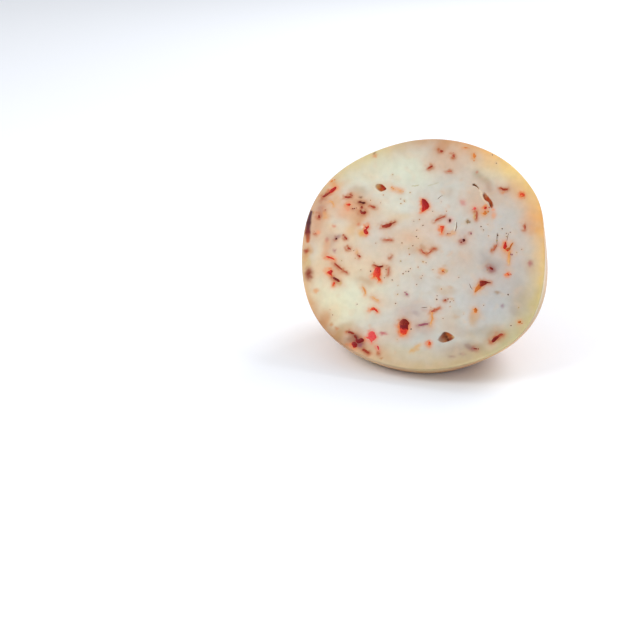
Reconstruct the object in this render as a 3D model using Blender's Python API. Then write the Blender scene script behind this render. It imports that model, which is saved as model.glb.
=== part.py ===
# Half of a small caciocavallo with chilli flakes all through its paste. The ball is cut across once,
# a little in front of its widest section, and the half lies back on its rind with the cut facing -Y.
# Blender 4.5, metres, +Z up. The origin is on the floor, under the middle of the piece.
import math
import random

import bmesh
import bpy
from mathutils import Matrix, Vector

MM = 0.001

# The ball: X is across the cut face, Y is up it and Z comes out of it
HALF_WIDTH = 75.0 * MM
HALF_HEIGHT = 72.4 * MM
HALF_DEPTH = 70.0 * MM
# A hand-moulded ball is a little squarish and lopsided: bumps round it, their height, where the first is
OUTLINE_BUMPS = ((3, 0.8 * MM, -50), (4, 1.2 * MM, -36), (6, 0.5 * MM, -23))
BALL_SEGMENTS = 96
BALL_RINGS = 48

# The cut, and how the half lies
CUT_OFFSET = 9.0 * MM
KNIFE_EDGE = 0.8 * MM
LEAN_BACK = math.radians(35)
MIDDLE_HEIGHT = 62.0 * MM
# The cheese is soft and heavy, so it has settled onto a flat spot, whose edge is rounded from here down
FOOT_EDGE_HEIGHT = 1.6 * MM
FOOT_EDGE_STEPS = ((0.45 * MM, 2.2 * MM), (0.0, 1.8 * MM))  # height, how far in from the step above
FOOT_OUTLINE_STEP = 2.5 * MM  # least distance between the points of its outline

# Holes in the cut face: across, up, length, width, depth, turn in degrees, how pointed the ends are
HOLES = (
    (-30.5, 37.5, 7.2, 4.6, 3.4, -22, 0.0),
    (22.0, -49.5, 11.4, 6.6, 4.2, 0, 0.5),
    (35.0, 36.2, 13.0, 2.9, 4.5, -55, 0.4),
    (27.4, 43.6, 6.0, 1.7, 2.4, -30, 0.4),
    (14.2, 21.4, 2.2, 1.8, 1.4, 90, 0.0),
    (25.0, 21.2, 2.6, 1.9, 1.2, 90, 0.0),
)
HOLE_SEGMENTS = 16
HOLE_RINGS = 8
HOLE_LIFT = 0.15  # share of the depth that the hole's middle stands above the face

# The largest chilli flakes, read from the cut face: across, up, length, width, turn in degrees
LARGE_FLAKES = (
    (-4.0, -46.5, 9.6, 5.4, 93),
    (-24.7, -15.5, 8.6, 4.6, 84),
    (-29.8, -58.5, 7.6, 4.4, 30),
    (-22.0, -54.5, 6.6, 5.2, 99),
    (-2.0, 29.0, 6.9, 4.3, 93),
    (38.0, -15.6, 8.6, 3.2, 22),
    (51.2, -46.3, 6.8, 1.9, 45),
    (48.6, 8.5, 4.6, 2.3, 83),
    (52.0, 2.0, 6.6, 1.6, 99),
    (-35.7, 9.8, 6.0, 2.8, 94),
    (-62.5, 31.9, 9.0, 2.2, 43),
    (-40.6, 27.4, 5.1, 2.0, -7),
    (-39.4, 21.1, 4.4, 2.6, 0),
    (-53.8, -18.3, 4.3, 3.6, 6),
    (-48.9, -23.2, 4.8, 1.8, -25),
    (-49.5, -14.6, 6.1, 1.8, -33),
    (-66.4, -21.0, 5.6, 2.8, 100),
    (-67.2, 18.0, 5.0, 2.6, 94),
    (-55.3, -9.6, 5.3, 1.8, -16),
    (-23.1, -38.8, 5.5, 1.9, -5),
    (4.0, 0.5, 7.6, 2.0, 18),
    (8.1, 21.6, 6.2, 1.6, 28),
    (10.1, 15.0, 4.7, 2.0, 96),
    (-21.8, 14.3, 4.4, 2.1, 16),
    (-2.2, 53.3, 3.9, 2.3, 40),
    (12.6, -54.4, 3.9, 2.0, 96),
    (39.4, -54.1, 4.0, 1.9, 7),
    (14.9, -10.3, 3.6, 2.6, 6),
    (54.6, 40.5, 3.4, 2.5, -31),
    (13.1, -34.7, 4.2, 1.7, 25),
)
# The rest are smaller, and the paste is strewn with them by chance
SMALL_FLAKE_COUNT = 26
SMALL_FLAKE_LENGTH = (2.2 * MM, 3.4 * MM)
SMALL_FLAKE_RATIO = (0.45, 0.7)
FLAKE_CORNERS = (6, 8)
FLAKE_SUNK = 1.2 * MM
FLAKE_PROUD = 0.5 * MM
FLAKE_SHOULDER = 0.15 * MM
FLAKE_TOP = 0.72  # size of a flake's top against its widest outline
RIM_MARGIN = 5.0 * MM
FLAKE_GAP = 1.6 * MM
RANDOM_SEED = 11

PASTE_COLOUR = (0.71, 0.62, 0.48, 1.0)
PASTE_ROUGHNESS = 0.5


def clear_scene():
    for obj in list(bpy.data.objects):
        bpy.data.objects.remove(obj, do_unlink=True)


def outline_radius(angle):
    """Radius of the ball's widest section, in the plane of the cut face."""
    radius = 1 / math.hypot(math.cos(angle) / HALF_WIDTH, math.sin(angle) / HALF_HEIGHT)
    for bumps, height, start in OUTLINE_BUMPS:
        radius += height * math.cos(bumps * (angle - math.radians(start)))
    return radius


def add_object(name, bm, collection=None):
    mesh = bpy.data.meshes.new(name)
    bm.to_mesh(mesh)
    bm.free()
    obj = bpy.data.objects.new(name, mesh)
    (collection or bpy.context.scene.collection).objects.link(obj)
    return obj


def cut_ball():
    """The ball in the face's own axes, sliced flat, with the knife's edge slightly rounded."""
    bm = bmesh.new()
    bmesh.ops.create_uvsphere(bm, u_segments=BALL_SEGMENTS, v_segments=BALL_RINGS, radius=1)
    for vert in bm.verts:
        radius = outline_radius(math.atan2(vert.co.y, vert.co.x))
        vert.co = Vector((vert.co.x * radius, vert.co.y * radius, vert.co.z * HALF_DEPTH))
    whole = list(bm.verts) + list(bm.edges) + list(bm.faces)
    bmesh.ops.bisect_plane(bm, geom=whole, plane_co=(0, 0, CUT_OFFSET), plane_no=(0, 0, 1), clear_outer=True)
    rim = [edge for edge in bm.edges if edge.is_boundary]
    bmesh.ops.edgeloop_fill(bm, edges=rim)
    bmesh.ops.bevel(bm, geom=rim, offset=KNIFE_EDGE, segments=2, profile=0.6, affect="EDGES")
    bmesh.ops.recalc_face_normals(bm, faces=bm.faces)
    return bm


def lean_back(bm):
    """Lean the half back, with its middle at the right height. Returns the place of the ball's axes."""
    place = Matrix.Translation((0, 0, MIDDLE_HEIGHT)) @ Matrix.Rotation(math.radians(90) - LEAN_BACK, 4, "X")
    bm.transform(place)
    return place


def settle(bm):
    """Press the rind flat where it meets the floor, and round the edge of the flat spot."""
    whole = list(bm.verts) + list(bm.edges) + list(bm.faces)
    height = (0, 0, FOOT_EDGE_HEIGHT)
    bmesh.ops.bisect_plane(bm, geom=whole, plane_co=height, plane_no=(0, 0, -1), clear_outer=True)
    rim = [edge for edge in bm.edges if edge.is_boundary]
    bmesh.ops.edgeloop_fill(bm, edges=rim)
    bmesh.ops.remove_doubles(bm, verts=list({vert for edge in rim for vert in edge.verts}), dist=FOOT_OUTLINE_STEP)
    foot = min(bm.faces, key=lambda face: face.calc_center_median().z)
    for height, inwards in FOOT_EDGE_STEPS:
        bmesh.ops.inset_region(bm, faces=[foot], thickness=inwards, use_even_offset=True)
        for vert in foot.verts:
            vert.co.z = height
    bmesh.ops.recalc_face_normals(bm, faces=bm.faces)


def centre(bm):
    """Put the origin under the middle of the half's box. Returns the shift."""
    middle = [(min(v.co[i] for v in bm.verts) + max(v.co[i] for v in bm.verts)) / 2 for i in (0, 1)]
    shift = Matrix.Translation((-middle[0], -middle[1], 0))
    bm.transform(shift)
    return shift


def add_hole(face_place, spot, collection):
    across, up, length, width, depth, turn, pointed = spot
    bm = bmesh.new()
    bmesh.ops.create_uvsphere(bm, u_segments=HOLE_SEGMENTS, v_segments=HOLE_RINGS, radius=1)
    for vert in bm.verts:
        narrowing = 1 - pointed * abs(vert.co.x) ** 2
        vert.co = Vector((
            vert.co.x * length / 2 * MM,
            vert.co.y * width / 2 * MM * narrowing,
            (vert.co.z + HOLE_LIFT) * depth * MM,
        ))
    place = Matrix.Translation((across * MM, up * MM, 0)) @ Matrix.Rotation(math.radians(turn), 4, "Z")
    bm.transform(face_place @ place)
    cutter = add_object("hole", bm, collection)
    cutter.hide_render = True
    cutter.display_type = "WIRE"


def add_flake(face_place, across, up, length, width, turn, rng, collection):
    """A crushed flake: an uneven many-sided chip, sunk into the paste and a little proud of the cut."""
    corners = rng.randint(*FLAKE_CORNERS)
    outline = []
    for corner in range(corners):
        angle = 2 * math.pi * (corner + rng.uniform(-0.2, 0.2)) / corners
        reach = rng.uniform(0.82, 1.0)
        outline.append(Vector((math.cos(angle) * length / 2 * reach, math.sin(angle) * width / 2 * reach, 0)))
    levels = ((1.0, -FLAKE_SUNK), (1.0, FLAKE_SHOULDER), (FLAKE_TOP, FLAKE_PROUD))
    bm = bmesh.new()
    rings = [[bm.verts.new(point * size + Vector((0, 0, height))) for point in outline] for size, height in levels]
    for lower, upper in zip(rings, rings[1:]):
        for i in range(corners):
            following = (i + 1) % corners
            bm.faces.new((lower[i], lower[following], upper[following], upper[i]))
    bm.faces.new(reversed(rings[0]))
    bm.faces.new(rings[-1])
    place = Matrix.Translation((across, up, 0)) @ Matrix.Rotation(turn, 4, "Z")
    bm.transform(face_place @ place)
    add_object("flake", bm, collection)


def free_of(spots, x, y, reach):
    return all(math.hypot(x - other_x, y - other_y) > reach + other_reach for other_x, other_y, other_reach in spots)


def add_flakes(face_place, collection):
    """The large flakes where they show, then the small ones by chance in the room that is left."""
    rng = random.Random(RANDOM_SEED)
    taken = [(hole[0] * MM, hole[1] * MM, hole[2] / 2 * MM) for hole in HOLES]
    for across, up, length, width, turn in LARGE_FLAKES:
        x, y, long_side, short_side = across * MM, up * MM, length * MM, width * MM
        add_flake(face_place, x, y, long_side, short_side, math.radians(turn), rng, collection)
        taken.append((x, y, long_side / 2))
    placed = 0
    while placed < SMALL_FLAKE_COUNT:
        angle = rng.uniform(0, 2 * math.pi)
        far = (outline_radius(angle) - RIM_MARGIN) * math.sqrt(rng.random())
        x, y = far * math.cos(angle), far * math.sin(angle)
        length = rng.uniform(*SMALL_FLAKE_LENGTH)
        if free_of(taken, x, y, length / 2 + FLAKE_GAP):
            width = length * rng.uniform(*SMALL_FLAKE_RATIO)
            add_flake(face_place, x, y, length, width, rng.uniform(0, math.pi), rng, collection)
            taken.append((x, y, length / 2))
            placed += 1


def combine(obj, collection, operation):
    """Cut or join everything in the collection with the object, then remove it."""
    modifier = obj.modifiers.new(operation.lower(), "BOOLEAN")
    modifier.operation = operation
    modifier.operand_type = "COLLECTION"
    modifier.collection = collection
    bpy.context.view_layer.objects.active = obj
    bpy.ops.object.modifier_apply(modifier=modifier.name)
    for helper in list(collection.objects):
        bpy.data.objects.remove(helper, do_unlink=True)
    bpy.data.collections.remove(collection)


def helper_collection(name):
    collection = bpy.data.collections.new(name)
    bpy.context.scene.collection.children.link(collection)
    return collection


def paste_material():
    material = bpy.data.materials.new("cheese_paste")
    material.use_nodes = True
    shader = material.node_tree.nodes["Principled BSDF"]
    shader.inputs["Base Color"].default_value = PASTE_COLOUR
    shader.inputs["Roughness"].default_value = PASTE_ROUGHNESS
    shader.inputs["Metallic"].default_value = 0.0
    return material


def build():
    clear_scene()
    bm = cut_ball()
    ball_place = lean_back(bm)
    settle(bm)
    ball_place = centre(bm) @ ball_place
    face_place = ball_place @ Matrix.Translation((0, 0, CUT_OFFSET))
    cheese = add_object("cheese_half", bm)
    holes = helper_collection("holes")
    for hole in HOLES:
        add_hole(face_place, hole, holes)
    combine(cheese, holes, "DIFFERENCE")
    flakes = helper_collection("flakes")
    add_flakes(face_place, flakes)
    combine(cheese, flakes, "UNION")
    cheese.data.materials.clear()
    cheese.data.materials.append(paste_material())
    cheese.data.shade_smooth()
    cheese.data.set_sharp_from_angle(angle=math.radians(30))


build()
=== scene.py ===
import math
import random

import bpy
import numpy as np
from mathutils import Matrix, Vector, noise


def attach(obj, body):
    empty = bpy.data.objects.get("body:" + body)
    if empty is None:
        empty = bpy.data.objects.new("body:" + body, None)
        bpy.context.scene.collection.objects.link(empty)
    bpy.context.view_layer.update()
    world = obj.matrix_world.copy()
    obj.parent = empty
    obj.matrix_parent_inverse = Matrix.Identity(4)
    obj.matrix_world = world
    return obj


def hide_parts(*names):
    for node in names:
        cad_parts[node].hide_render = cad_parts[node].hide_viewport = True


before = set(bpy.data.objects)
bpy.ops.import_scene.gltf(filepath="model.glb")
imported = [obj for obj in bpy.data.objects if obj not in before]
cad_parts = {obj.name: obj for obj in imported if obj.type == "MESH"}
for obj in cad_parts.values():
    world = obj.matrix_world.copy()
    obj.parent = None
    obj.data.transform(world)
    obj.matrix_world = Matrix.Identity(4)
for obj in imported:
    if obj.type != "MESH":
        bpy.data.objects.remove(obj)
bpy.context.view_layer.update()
bpy.ops.object.select_all(action="DESELECT")
mm = 0.001

# The ball before it leans back: X runs across the cut, Y up it and Z out of it. Lengths in millimetres
ballForm = {
    "halfWidth": 75.35,
    "halfHeight": 72.4,
    "halfDepth": 70.0,
    # Lobes round the outline: how many, how high, at which angle the first is
    "lobes": ((1, 0.35, 180), (3, 0.8, -50), (4, 1.2, -36), (6, 0.5, -23)),
    # Shoulders: at which angle, how wide in degrees, how high
    "shoulders": ((30, 10, 1.15), (-47, 16, -0.5), (-38, 22, 1.8)),
    # Behind the cut the right flank bulges, and the lower right one draws in
    "flanks": (
        {"angle": -12, "spread": 26, "height": 1.8, "start": 11, "end": (25, 60)},
        {"angle": -40, "spread": 24, "height": -2.2, "start": 6, "end": (40, 66)},
    ),
    "segments": 256,
    "rings": 128,
    "cutAt": 9.0,  # the knife passed this far in front of the middle
    "knifeEdge": 0.8,
    "faceCuts": 3,  # the face's grid is split this often
    "leanBack": 35,
    "middle": (0.57, -11.49, 62.0),  # where the ball's middle stands over the floor
    "footRounding": 4.0,
}

# Relief: wavelength in mm and height in mm
faceWaves = ((34.0, 0.22), (9.0, 0.06), (2.6, 0.02))
rindWaves = ((38.0, 0.7), (11.0, 0.16), (4.0, 0.05))
rindSeed = 5
faceEdge = (1.5, 0.1)  # the face's waves begin and are full this far behind the cut
rindEdge = 22  # the rind's waves begin at the cut and are full this far behind it

# Holes: their outline on the cut face in mm, their depth, how much they narrow across and up,
# and where their bottom shifts
holes = {
    "ovalEye": {
        "outline": ((-34.4, 38.1), (-33.8, 39.7), (-31.4, 40.3), (-29.5, 39.6), (-27.0, 37.4), (-27.9, 36.1),
                    (-29.9, 35.1), (-31.5, 35.4), (-33.3, 36.6)),
        "depth": 2.6, "narrowing": (0.6, 0.55), "shift": (1.2, 0.6),
    },
    "leafEye": {
        "outline": ((16.9, -51.5), (18.2, -48.9), (19.9, -46.5), (22.3, -46.3), (25.1, -47.4), (27.2, -48.9),
                    (25.8, -50.6), (23.4, -52.0), (20.3, -53.0), (17.8, -52.5)),
        "depth": 3.2, "narrowing": (0.9, 0.4), "shift": (0.8, 0.4),
    },
    "wideSlit": {
        "outline": ((31.3, 38.9), (31.5, 40.0), (32.4, 40.7), (34.0, 39.2), (35.9, 37.4), (37.5, 35.7),
                    (38.5, 34.0), (39.0, 32.0), (38.5, 30.5), (37.3, 31.1), (36.3, 32.8), (35.4, 34.4),
                    (33.5, 35.4), (32.1, 37.0)),
        "depth": 2.0, "narrowing": (0.5, 0.5), "shift": (-0.2, -0.2),
    },
    "thinSlit": {
        "outline": ((24.4, 44.6), (25.3, 45.5), (26.9, 44.7), (29.3, 42.5), (29.1, 41.6), (27.7, 42.9),
                    (25.9, 43.7), (24.7, 43.9)),
        "depth": 1.3, "narrowing": (0.6, 0.6), "shift": (-0.6, 0.4),
    },
    "pinEye": {
        "outline": ((13.5, 21.2), (13.9, 20.2), (14.7, 20.2), (15.1, 21.2), (14.7, 22.1), (13.8, 22.1)),
        "depth": 0.9, "narrowing": (0.5, 0.5), "shift": (0.0, 0.0),
    },
    "seedEye": {
        "outline": ((24.2, 20.6), (25.0, 19.9), (25.8, 20.8), (25.8, 22.0), (25.1, 22.6), (24.3, 21.8)),
        "depth": 0.7, "narrowing": (0.5, 0.5), "shift": (0.0, 0.0),
    },
}
# Fine tears where the knife dragged the curd: width and path in mm
tears = (
    (0.5, ((18.4, 20.6), (18.8, 17.6), (18.5, 14.7))),
    (0.4, ((5.1, 33.6), (6.4, 35.2), (7.8, 36.2))),
    (0.3, ((43.0, 16.1), (43.2, 13.5), (43.6, 10.2))),
    (0.35, ((5.0, -33.5), (6.8, -33.4), (8.5, -33.0))),
    (0.3, ((49.6, 16.8), (49.3, 14.2), (49.2, 12.0))),
    (0.35, ((31.0, -16.0), (32.1, -18.2), (33.3, -19.4))),
)
tearDepth = 0.7
# How a hole is cut: the cutter's top and lip over the face, its flare, its rings by share of the depth,
# and how round its bottom is
holeCutter = {"top": 1.5, "flare": 1.03, "lip": 0.1, "rings": (0.2, 0.45, 0.7, 0.9, 1.0), "roundness": 0.9}


def readPoints(obj):
    points = np.empty(len(obj.data.vertices) * 3)
    obj.data.vertices.foreach_get("co", points)
    return points.reshape(-1, 3) / mm


def writePoints(obj, points):
    obj.data.vertices.foreach_set("co", (points * mm).ravel())
    obj.data.update()


def smooth(low, high, value):
    share = np.clip((value - low) / (high - low), 0, 1)
    return share * share * (3 - 2 * share)


def waves(points, wavelength, seed):
    shift = Vector((seed * 7.3, seed * 3.1, seed * 5.7))
    return np.array([noise.noise(Vector(point) / wavelength + shift) for point in points])


def outlineRadius(angle):
    radius = 1 / np.hypot(np.cos(angle) / ballForm["halfWidth"], np.sin(angle) / ballForm["halfHeight"])
    for count, height, start in ballForm["lobes"]:
        radius = radius + height * np.cos(count * (angle - math.radians(start)))
    for place, spread, height in ballForm["shoulders"]:
        turn = (np.degrees(angle) - place + 180) % 360 - 180
        radius = radius + height * np.exp(-(turn / spread) ** 2)
    return radius


def editMode(obj):
    bpy.context.view_layer.objects.active = obj
    bpy.ops.object.mode_set(mode="EDIT")


def objectMode():
    bpy.ops.object.mode_set(mode="OBJECT")


def makeBall():
    bpy.ops.mesh.primitive_uv_sphere_add(
        segments=ballForm["segments"], ring_count=ballForm["rings"], radius=mm)
    ball = bpy.context.object
    ball.name = "cheese"
    points = readPoints(ball)
    radius = outlineRadius(np.arctan2(points[:, 1], points[:, 0]))
    points[:, 0] *= radius
    points[:, 1] *= radius
    points[:, 2] *= ballForm["halfDepth"]
    writePoints(ball, points)

    # Slice it, round the knife's edge a little, and give the cut a grid of its own
    editMode(ball)
    bpy.ops.mesh.select_mode(type="EDGE")
    bpy.ops.mesh.select_all(action="SELECT")
    cut = (0, 0, ballForm["cutAt"] * mm)
    bpy.ops.mesh.bisect(plane_co=cut, plane_no=(0, 0, 1), use_fill=True, clear_outer=True)
    bpy.ops.mesh.bevel(offset=ballForm["knifeEdge"] * mm, segments=3, profile=0.6, affect="EDGES")
    bpy.ops.mesh.select_mode(type="FACE")
    bpy.ops.mesh.select_all(action="DESELECT")
    objectMode()
    face = max(ball.data.polygons, key=lambda polygon: len(polygon.vertices))
    face.select = True
    editMode(ball)
    bpy.ops.mesh.delete(type="ONLY_FACE")
    bpy.ops.mesh.select_mode(type="EDGE")
    bpy.ops.mesh.select_all(action="DESELECT")
    bpy.ops.mesh.select_non_manifold(
        use_wire=False, use_multi_face=False, use_non_contiguous=False, use_verts=False)
    bpy.ops.mesh.fill_grid(span=ballForm["segments"] // 4)
    bpy.ops.mesh.subdivide(number_cuts=ballForm["faceCuts"])
    bpy.ops.mesh.select_all(action="SELECT")
    bpy.ops.mesh.normals_make_consistent(inside=False)
    bpy.ops.mesh.select_all(action="DESELECT")
    objectMode()
    return ball


def addRelief(ball):
    points = readPoints(ball)
    cutAt = ballForm["cutAt"]
    onFace = smooth(cutAt - faceEdge[0], cutAt - faceEdge[1], points[:, 2])
    lift = np.zeros(len(points))
    swell = np.zeros(len(points))
    for seed, (wavelength, height) in enumerate(faceWaves):
        lift += height * waves(points * (1, 1, 0), wavelength, seed)
    for seed, (wavelength, height) in enumerate(rindWaves):
        swell += height * waves(points, wavelength, seed + rindSeed)
    behind = cutAt - points[:, 2]
    bulge = np.zeros(len(points))
    for flank in ballForm["flanks"]:
        turn = (np.degrees(np.arctan2(points[:, 1], points[:, 0])) - flank["angle"] + 180) % 360 - 180
        share = np.exp(-(turn / flank["spread"]) ** 2) * smooth(0, flank["start"], behind)
        bulge += flank["height"] * share * (1 - smooth(*flank["end"], behind))
    flat = points[:, :2] / np.maximum(np.hypot(points[:, 0], points[:, 1]), 1)[:, None]
    points[:, :2] += flat * bulge[:, None]
    # The rind swells away from the middle, and less towards the cut, so that the outline stays
    outwards = points / np.linalg.norm(points, axis=1, keepdims=True)
    away = smooth(0, rindEdge, behind)
    points += outwards * (swell * away)[:, None]
    points[:, 2] += lift * onFace
    writePoints(ball, points)


# A closed curve through the outline's points
def roundOutline(outline, steps=4):
    count = len(outline)
    corners = [Vector(point) for point in outline]
    curve = []
    for i in range(count):
        before, start, end, after = (corners[(i + k) % count] for k in (-1, 0, 1, 2))
        for step in range(steps):
            t = step / steps
            curve.append(0.5 * (
                2 * start + (end - before) * t + (2 * before - 5 * start + 4 * end - after) * t**2
                + (3 * start - before - 3 * end + after) * t**3))
    return curve


strandEnd = 0.62  # a strand's width at its ends, as a share of its full width


# The outline of a strand that follows a path and narrows a little at both ends
def alongPath(path, width):
    places = [Vector(point) for point in path]
    last = len(places) - 1
    left, right = [], []
    for i, place in enumerate(places):
        step = places[min(i + 1, last)] - places[max(i - 1, 0)]
        side = step.normalized().orthogonal() * width / 2 * (strandEnd if i in (0, last) else 1)
        left.append(place + side)
        right.append(place - side)
    return [*left, *reversed(right)]


# A closed solid through copies of an outline: each level has a height, a size across and up, and a shift
def loft(name, outline, levels):
    bpy.ops.mesh.primitive_circle_add(vertices=len(outline), radius=mm, fill_type="NGON")
    solid = bpy.context.object
    solid.name = name
    middle = sum((Vector(point) for point in outline), Vector((0, 0))) / len(outline)
    height, size, shift = levels[0]
    for vertex, point in zip(solid.data.vertices, outline):
        place = middle + (Vector(point) - middle) * Vector(size) + Vector(shift)
        vertex.co = (place.x * mm, place.y * mm, height * mm)
    editMode(solid)
    bpy.ops.mesh.select_all(action="SELECT")
    centre = middle + Vector(shift)
    for nextHeight, nextSize, nextShift in levels[1:]:
        step = Vector(nextShift) - Vector(shift)
        rise = (step.x * mm, step.y * mm, (nextHeight - height) * mm)
        bpy.ops.mesh.extrude_region_move(TRANSFORM_OT_translate={"value": rise})
        centre = middle + Vector(nextShift)
        change = (nextSize[0] / size[0], nextSize[1] / size[1], 1)
        bpy.ops.transform.resize(value=change, center_override=(centre.x * mm, centre.y * mm, 0))
        height, size, shift = nextHeight, nextSize, nextShift
    bpy.ops.mesh.poke()
    bpy.ops.mesh.select_all(action="SELECT")
    bpy.ops.mesh.normals_make_consistent(inside=False)
    objectMode()
    return solid


def carve(ball, cutter):
    shape = ball.modifiers.new("cut", "BOOLEAN")
    shape.operation = "DIFFERENCE"
    shape.solver = "EXACT"
    shape.object = cutter
    bpy.context.view_layer.objects.active = ball
    bpy.ops.object.modifier_apply(modifier=shape.name)
    bpy.data.objects.remove(cutter, do_unlink=True)


def carveHoles(ball):
    cutAt = ballForm["cutAt"]
    for name, hole in holes.items():
        across, up = hole["shift"]
        flare = holeCutter["flare"]
        levels = [
            (cutAt + holeCutter["top"], (flare, flare), (0, 0)),
            (cutAt + holeCutter["lip"], (1, 1), (0, 0)),
        ]
        for share in holeCutter["rings"]:
            taper = math.sqrt(1 - share**4 * holeCutter["roundness"])
            size = tuple((1 - narrowing * share) * taper for narrowing in hole["narrowing"])
            levels.append((cutAt - hole["depth"] * share, size, (across * share, up * share)))
        carve(ball, loft(name, roundOutline(hole["outline"]), levels))
    for width, path in tears:
        full, narrow = (1, 1), (0.8, 0.8)
        levels = ((cutAt + 1, full, (0, 0)), (cutAt, full, (0, 0)), (cutAt - tearDepth, narrow, (0, 0)))
        carve(ball, loft("tear", alongPath(path, width), levels))


def linear(code):
    channels = [int(code[i:i + 2], 16) / 255 for i in (1, 3, 5)]
    return [c / 12.92 if c <= 0.04045 else ((c + 0.055) / 1.055) ** 2.4 for c in channels] + [1.0]


# Chilli flakes that the cut shows broadside, by their outline in mm
# Tones run from 0 to 1, from dark to light, and the second is that of the flake's lower left. A darker top
# and lighter lower left are partly the flake's own colour and partly painted shade and light
flakes = {
    "triangle": {"kind": "bright", "tones": (0.14, 0.5), "outline": (
        (-4.4, 32.6), (-3.7, 33.0), (-2.3, 32.6), (-0.9, 31.3), (0.2, 29.9), (0.7, 28.5), (0.3, 27.2),
        (-1.1, 26.2), (-2.4, 25.1), (-3.5, 24.6), (-3.7, 26.3), (-3.7, 28.4), (-4.1, 30.5))},
    "flame": {"kind": "bright", "tones": (0.38, 0.72), "outline": (
        (-26.4, -12.7), (-25.1, -12.1), (-23.3, -12.3), (-22.5, -16.2), (-22.7, -18.3), (-21.3, -20.3),
        (-23.1, -20.7), (-24.7, -18.9), (-27.1, -18.8), (-27.1, -16.3))},
    "scallop": {"kind": "rose", "tones": (0.46, 0.66), "outline": (
        (-24.5, -52.8), (-23.8, -51.8), (-22.5, -51.2), (-20.9, -51.5), (-20.0, -52.8), (-18.7, -54.9),
        (-19.6, -56.4), (-20.6, -57.6), (-21.3, -58.7), (-22.5, -57.8), (-23.4, -56.9), (-25.4, -56.3),
        (-25.7, -55.6), (-24.4, -54.9))},
    "bootTop": {"kind": "dark", "tones": (0.22, 0.42), "outline": (
        (-6.8, -44.8), (-6.5, -43.4), (-5.8, -42.3), (-4.6, -41.7), (-3.2, -41.9), (-1.9, -42.7),
        (-0.8, -43.7), (-0.9, -44.6), (-1.5, -45.4), (-3.8, -45.9), (-6.3, -46.0))},
    "bootMiddle": {"kind": "bright", "tones": (0.0, 0.08), "outline": (
        (-6.2, -45.0), (-3.9, -44.9), (-1.5, -44.5), (-1.2, -46.4), (-1.1, -47.8), (-2.6, -48.3),
        (-4.1, -48.5), (-5.7, -48.4), (-6.2, -47.0))},
    "bootFoot": {"kind": "bright", "tones": (0.5, 0.64), "outline": (
        (-5.8, -47.4), (-4.2, -47.2), (-2.6, -47.2), (-1.2, -47.0), (-1.3, -49.2), (-1.8, -50.7),
        (-2.9, -51.4), (-4.2, -51.4), (-5.2, -50.7), (-5.8, -49.4))},
    "bird": {"kind": "dark", "tones": (0.18, 0.38), "outline": (
        (36.8, -13.8), (38.9, -13.3), (41.0, -13.6), (43.4, -14.1), (41.1, -14.7), (40.6, -15.4),
        (38.8, -16.9), (37.2, -17.3), (36.9, -15.6))},
    "birdTail": {"kind": "orange", "tones": (0.2, 0.4), "outline": (
        (36.8, -15.6), (38.6, -16.6), (37.8, -18.3), (36.3, -19.8), (34.9, -21.2), (34.6, -19.6),
        (35.4, -17.4))},
    "clusterUpper": {"kind": "bright", "tones": (0.0, 0.06), "outline": (
        (-31.8, -57.1), (-30.3, -57.5), (-28.4, -56.2), (-26.6, -56.6), (-25.9, -57.6), (-26.3, -58.5),
        (-27.9, -59.4), (-29.9, -60.0), (-31.3, -59.0))},
    "clusterLower": {"kind": "bright", "tones": (0.08, 0.26), "outline": (
        (-33.6, -60.0), (-32.4, -59.1), (-30.9, -59.5), (-29.9, -60.4), (-29.8, -61.8), (-30.6, -62.6),
        (-32.0, -62.7), (-33.1, -61.7))},
    "redWedge": {"kind": "bright", "tones": (0.55, 0.6), "outline": (
        (-50.8, 24.8), (-49.1, 25.9), (-47.9, 25.5), (-48.5, 24.3), (-49.4, 24.4))},
    "comma": {"kind": "bright", "tones": (0.52, 0.3), "outline": (
        (-36.6, 12.6), (-35.5, 12.5), (-34.6, 13.5), (-34.3, 11.9), (-35.1, 10.5), (-34.8, 9.4),
        (-33.9, 8.4), (-34.9, 7.1), (-36.4, 7.7), (-37.3, 9.0), (-37.0, 10.3), (-35.9, 11.4))},
    "hook": {"kind": "dark", "tones": (0.26, 0.36), "outline": (
        (-41.4, 22.4), (-40.2, 21.7), (-39.3, 21.5), (-37.9, 22.0), (-37.2, 20.9), (-38.3, 19.9),
        (-39.7, 19.8), (-41.0, 20.6))},
    "skinRoll": {"kind": "dark", "tones": (0.0, 0.15), "outline": (
        (-43.5, 27.3), (-42.1, 28.0), (-41.0, 27.6), (-39.2, 27.6), (-38.7, 26.9), (-40.1, 26.4),
        (-41.2, 26.8), (-42.7, 27.0))},
    "crown": {"kind": "bright", "tones": (0.36, 0.5), "outline": (
        (-55.8, -18.8), (-54.8, -17.8), (-53.3, -16.9), (-52.3, -17.7), (-52.7, -19.3), (-51.8, -20.9),
        (-53.7, -20.2))},
    "sliver": {"kind": "bright", "tones": (0.62, 0.76), "outline": (
        (11.9, -53.7), (12.7, -53.3), (13.5, -53.8), (13.4, -55.1), (12.8, -56.0), (12.1, -55.2))},
    "wedge": {"kind": "bright", "tones": (0.62, 0.78), "outline": (
        (8.8, 16.9), (10.0, 17.4), (11.3, 17.3), (11.4, 15.8), (11.1, 14.0), (10.9, 12.4), (10.2, 12.5),
        (9.4, 14.5))},
    "drop": {"kind": "bright", "tones": (0.42, 0.42), "outline": (
        (48.4, 11.5), (49.4, 9.7), (49.6, 8.0), (48.7, 6.8), (47.6, 7.7), (47.8, 9.5))},
}

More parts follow.
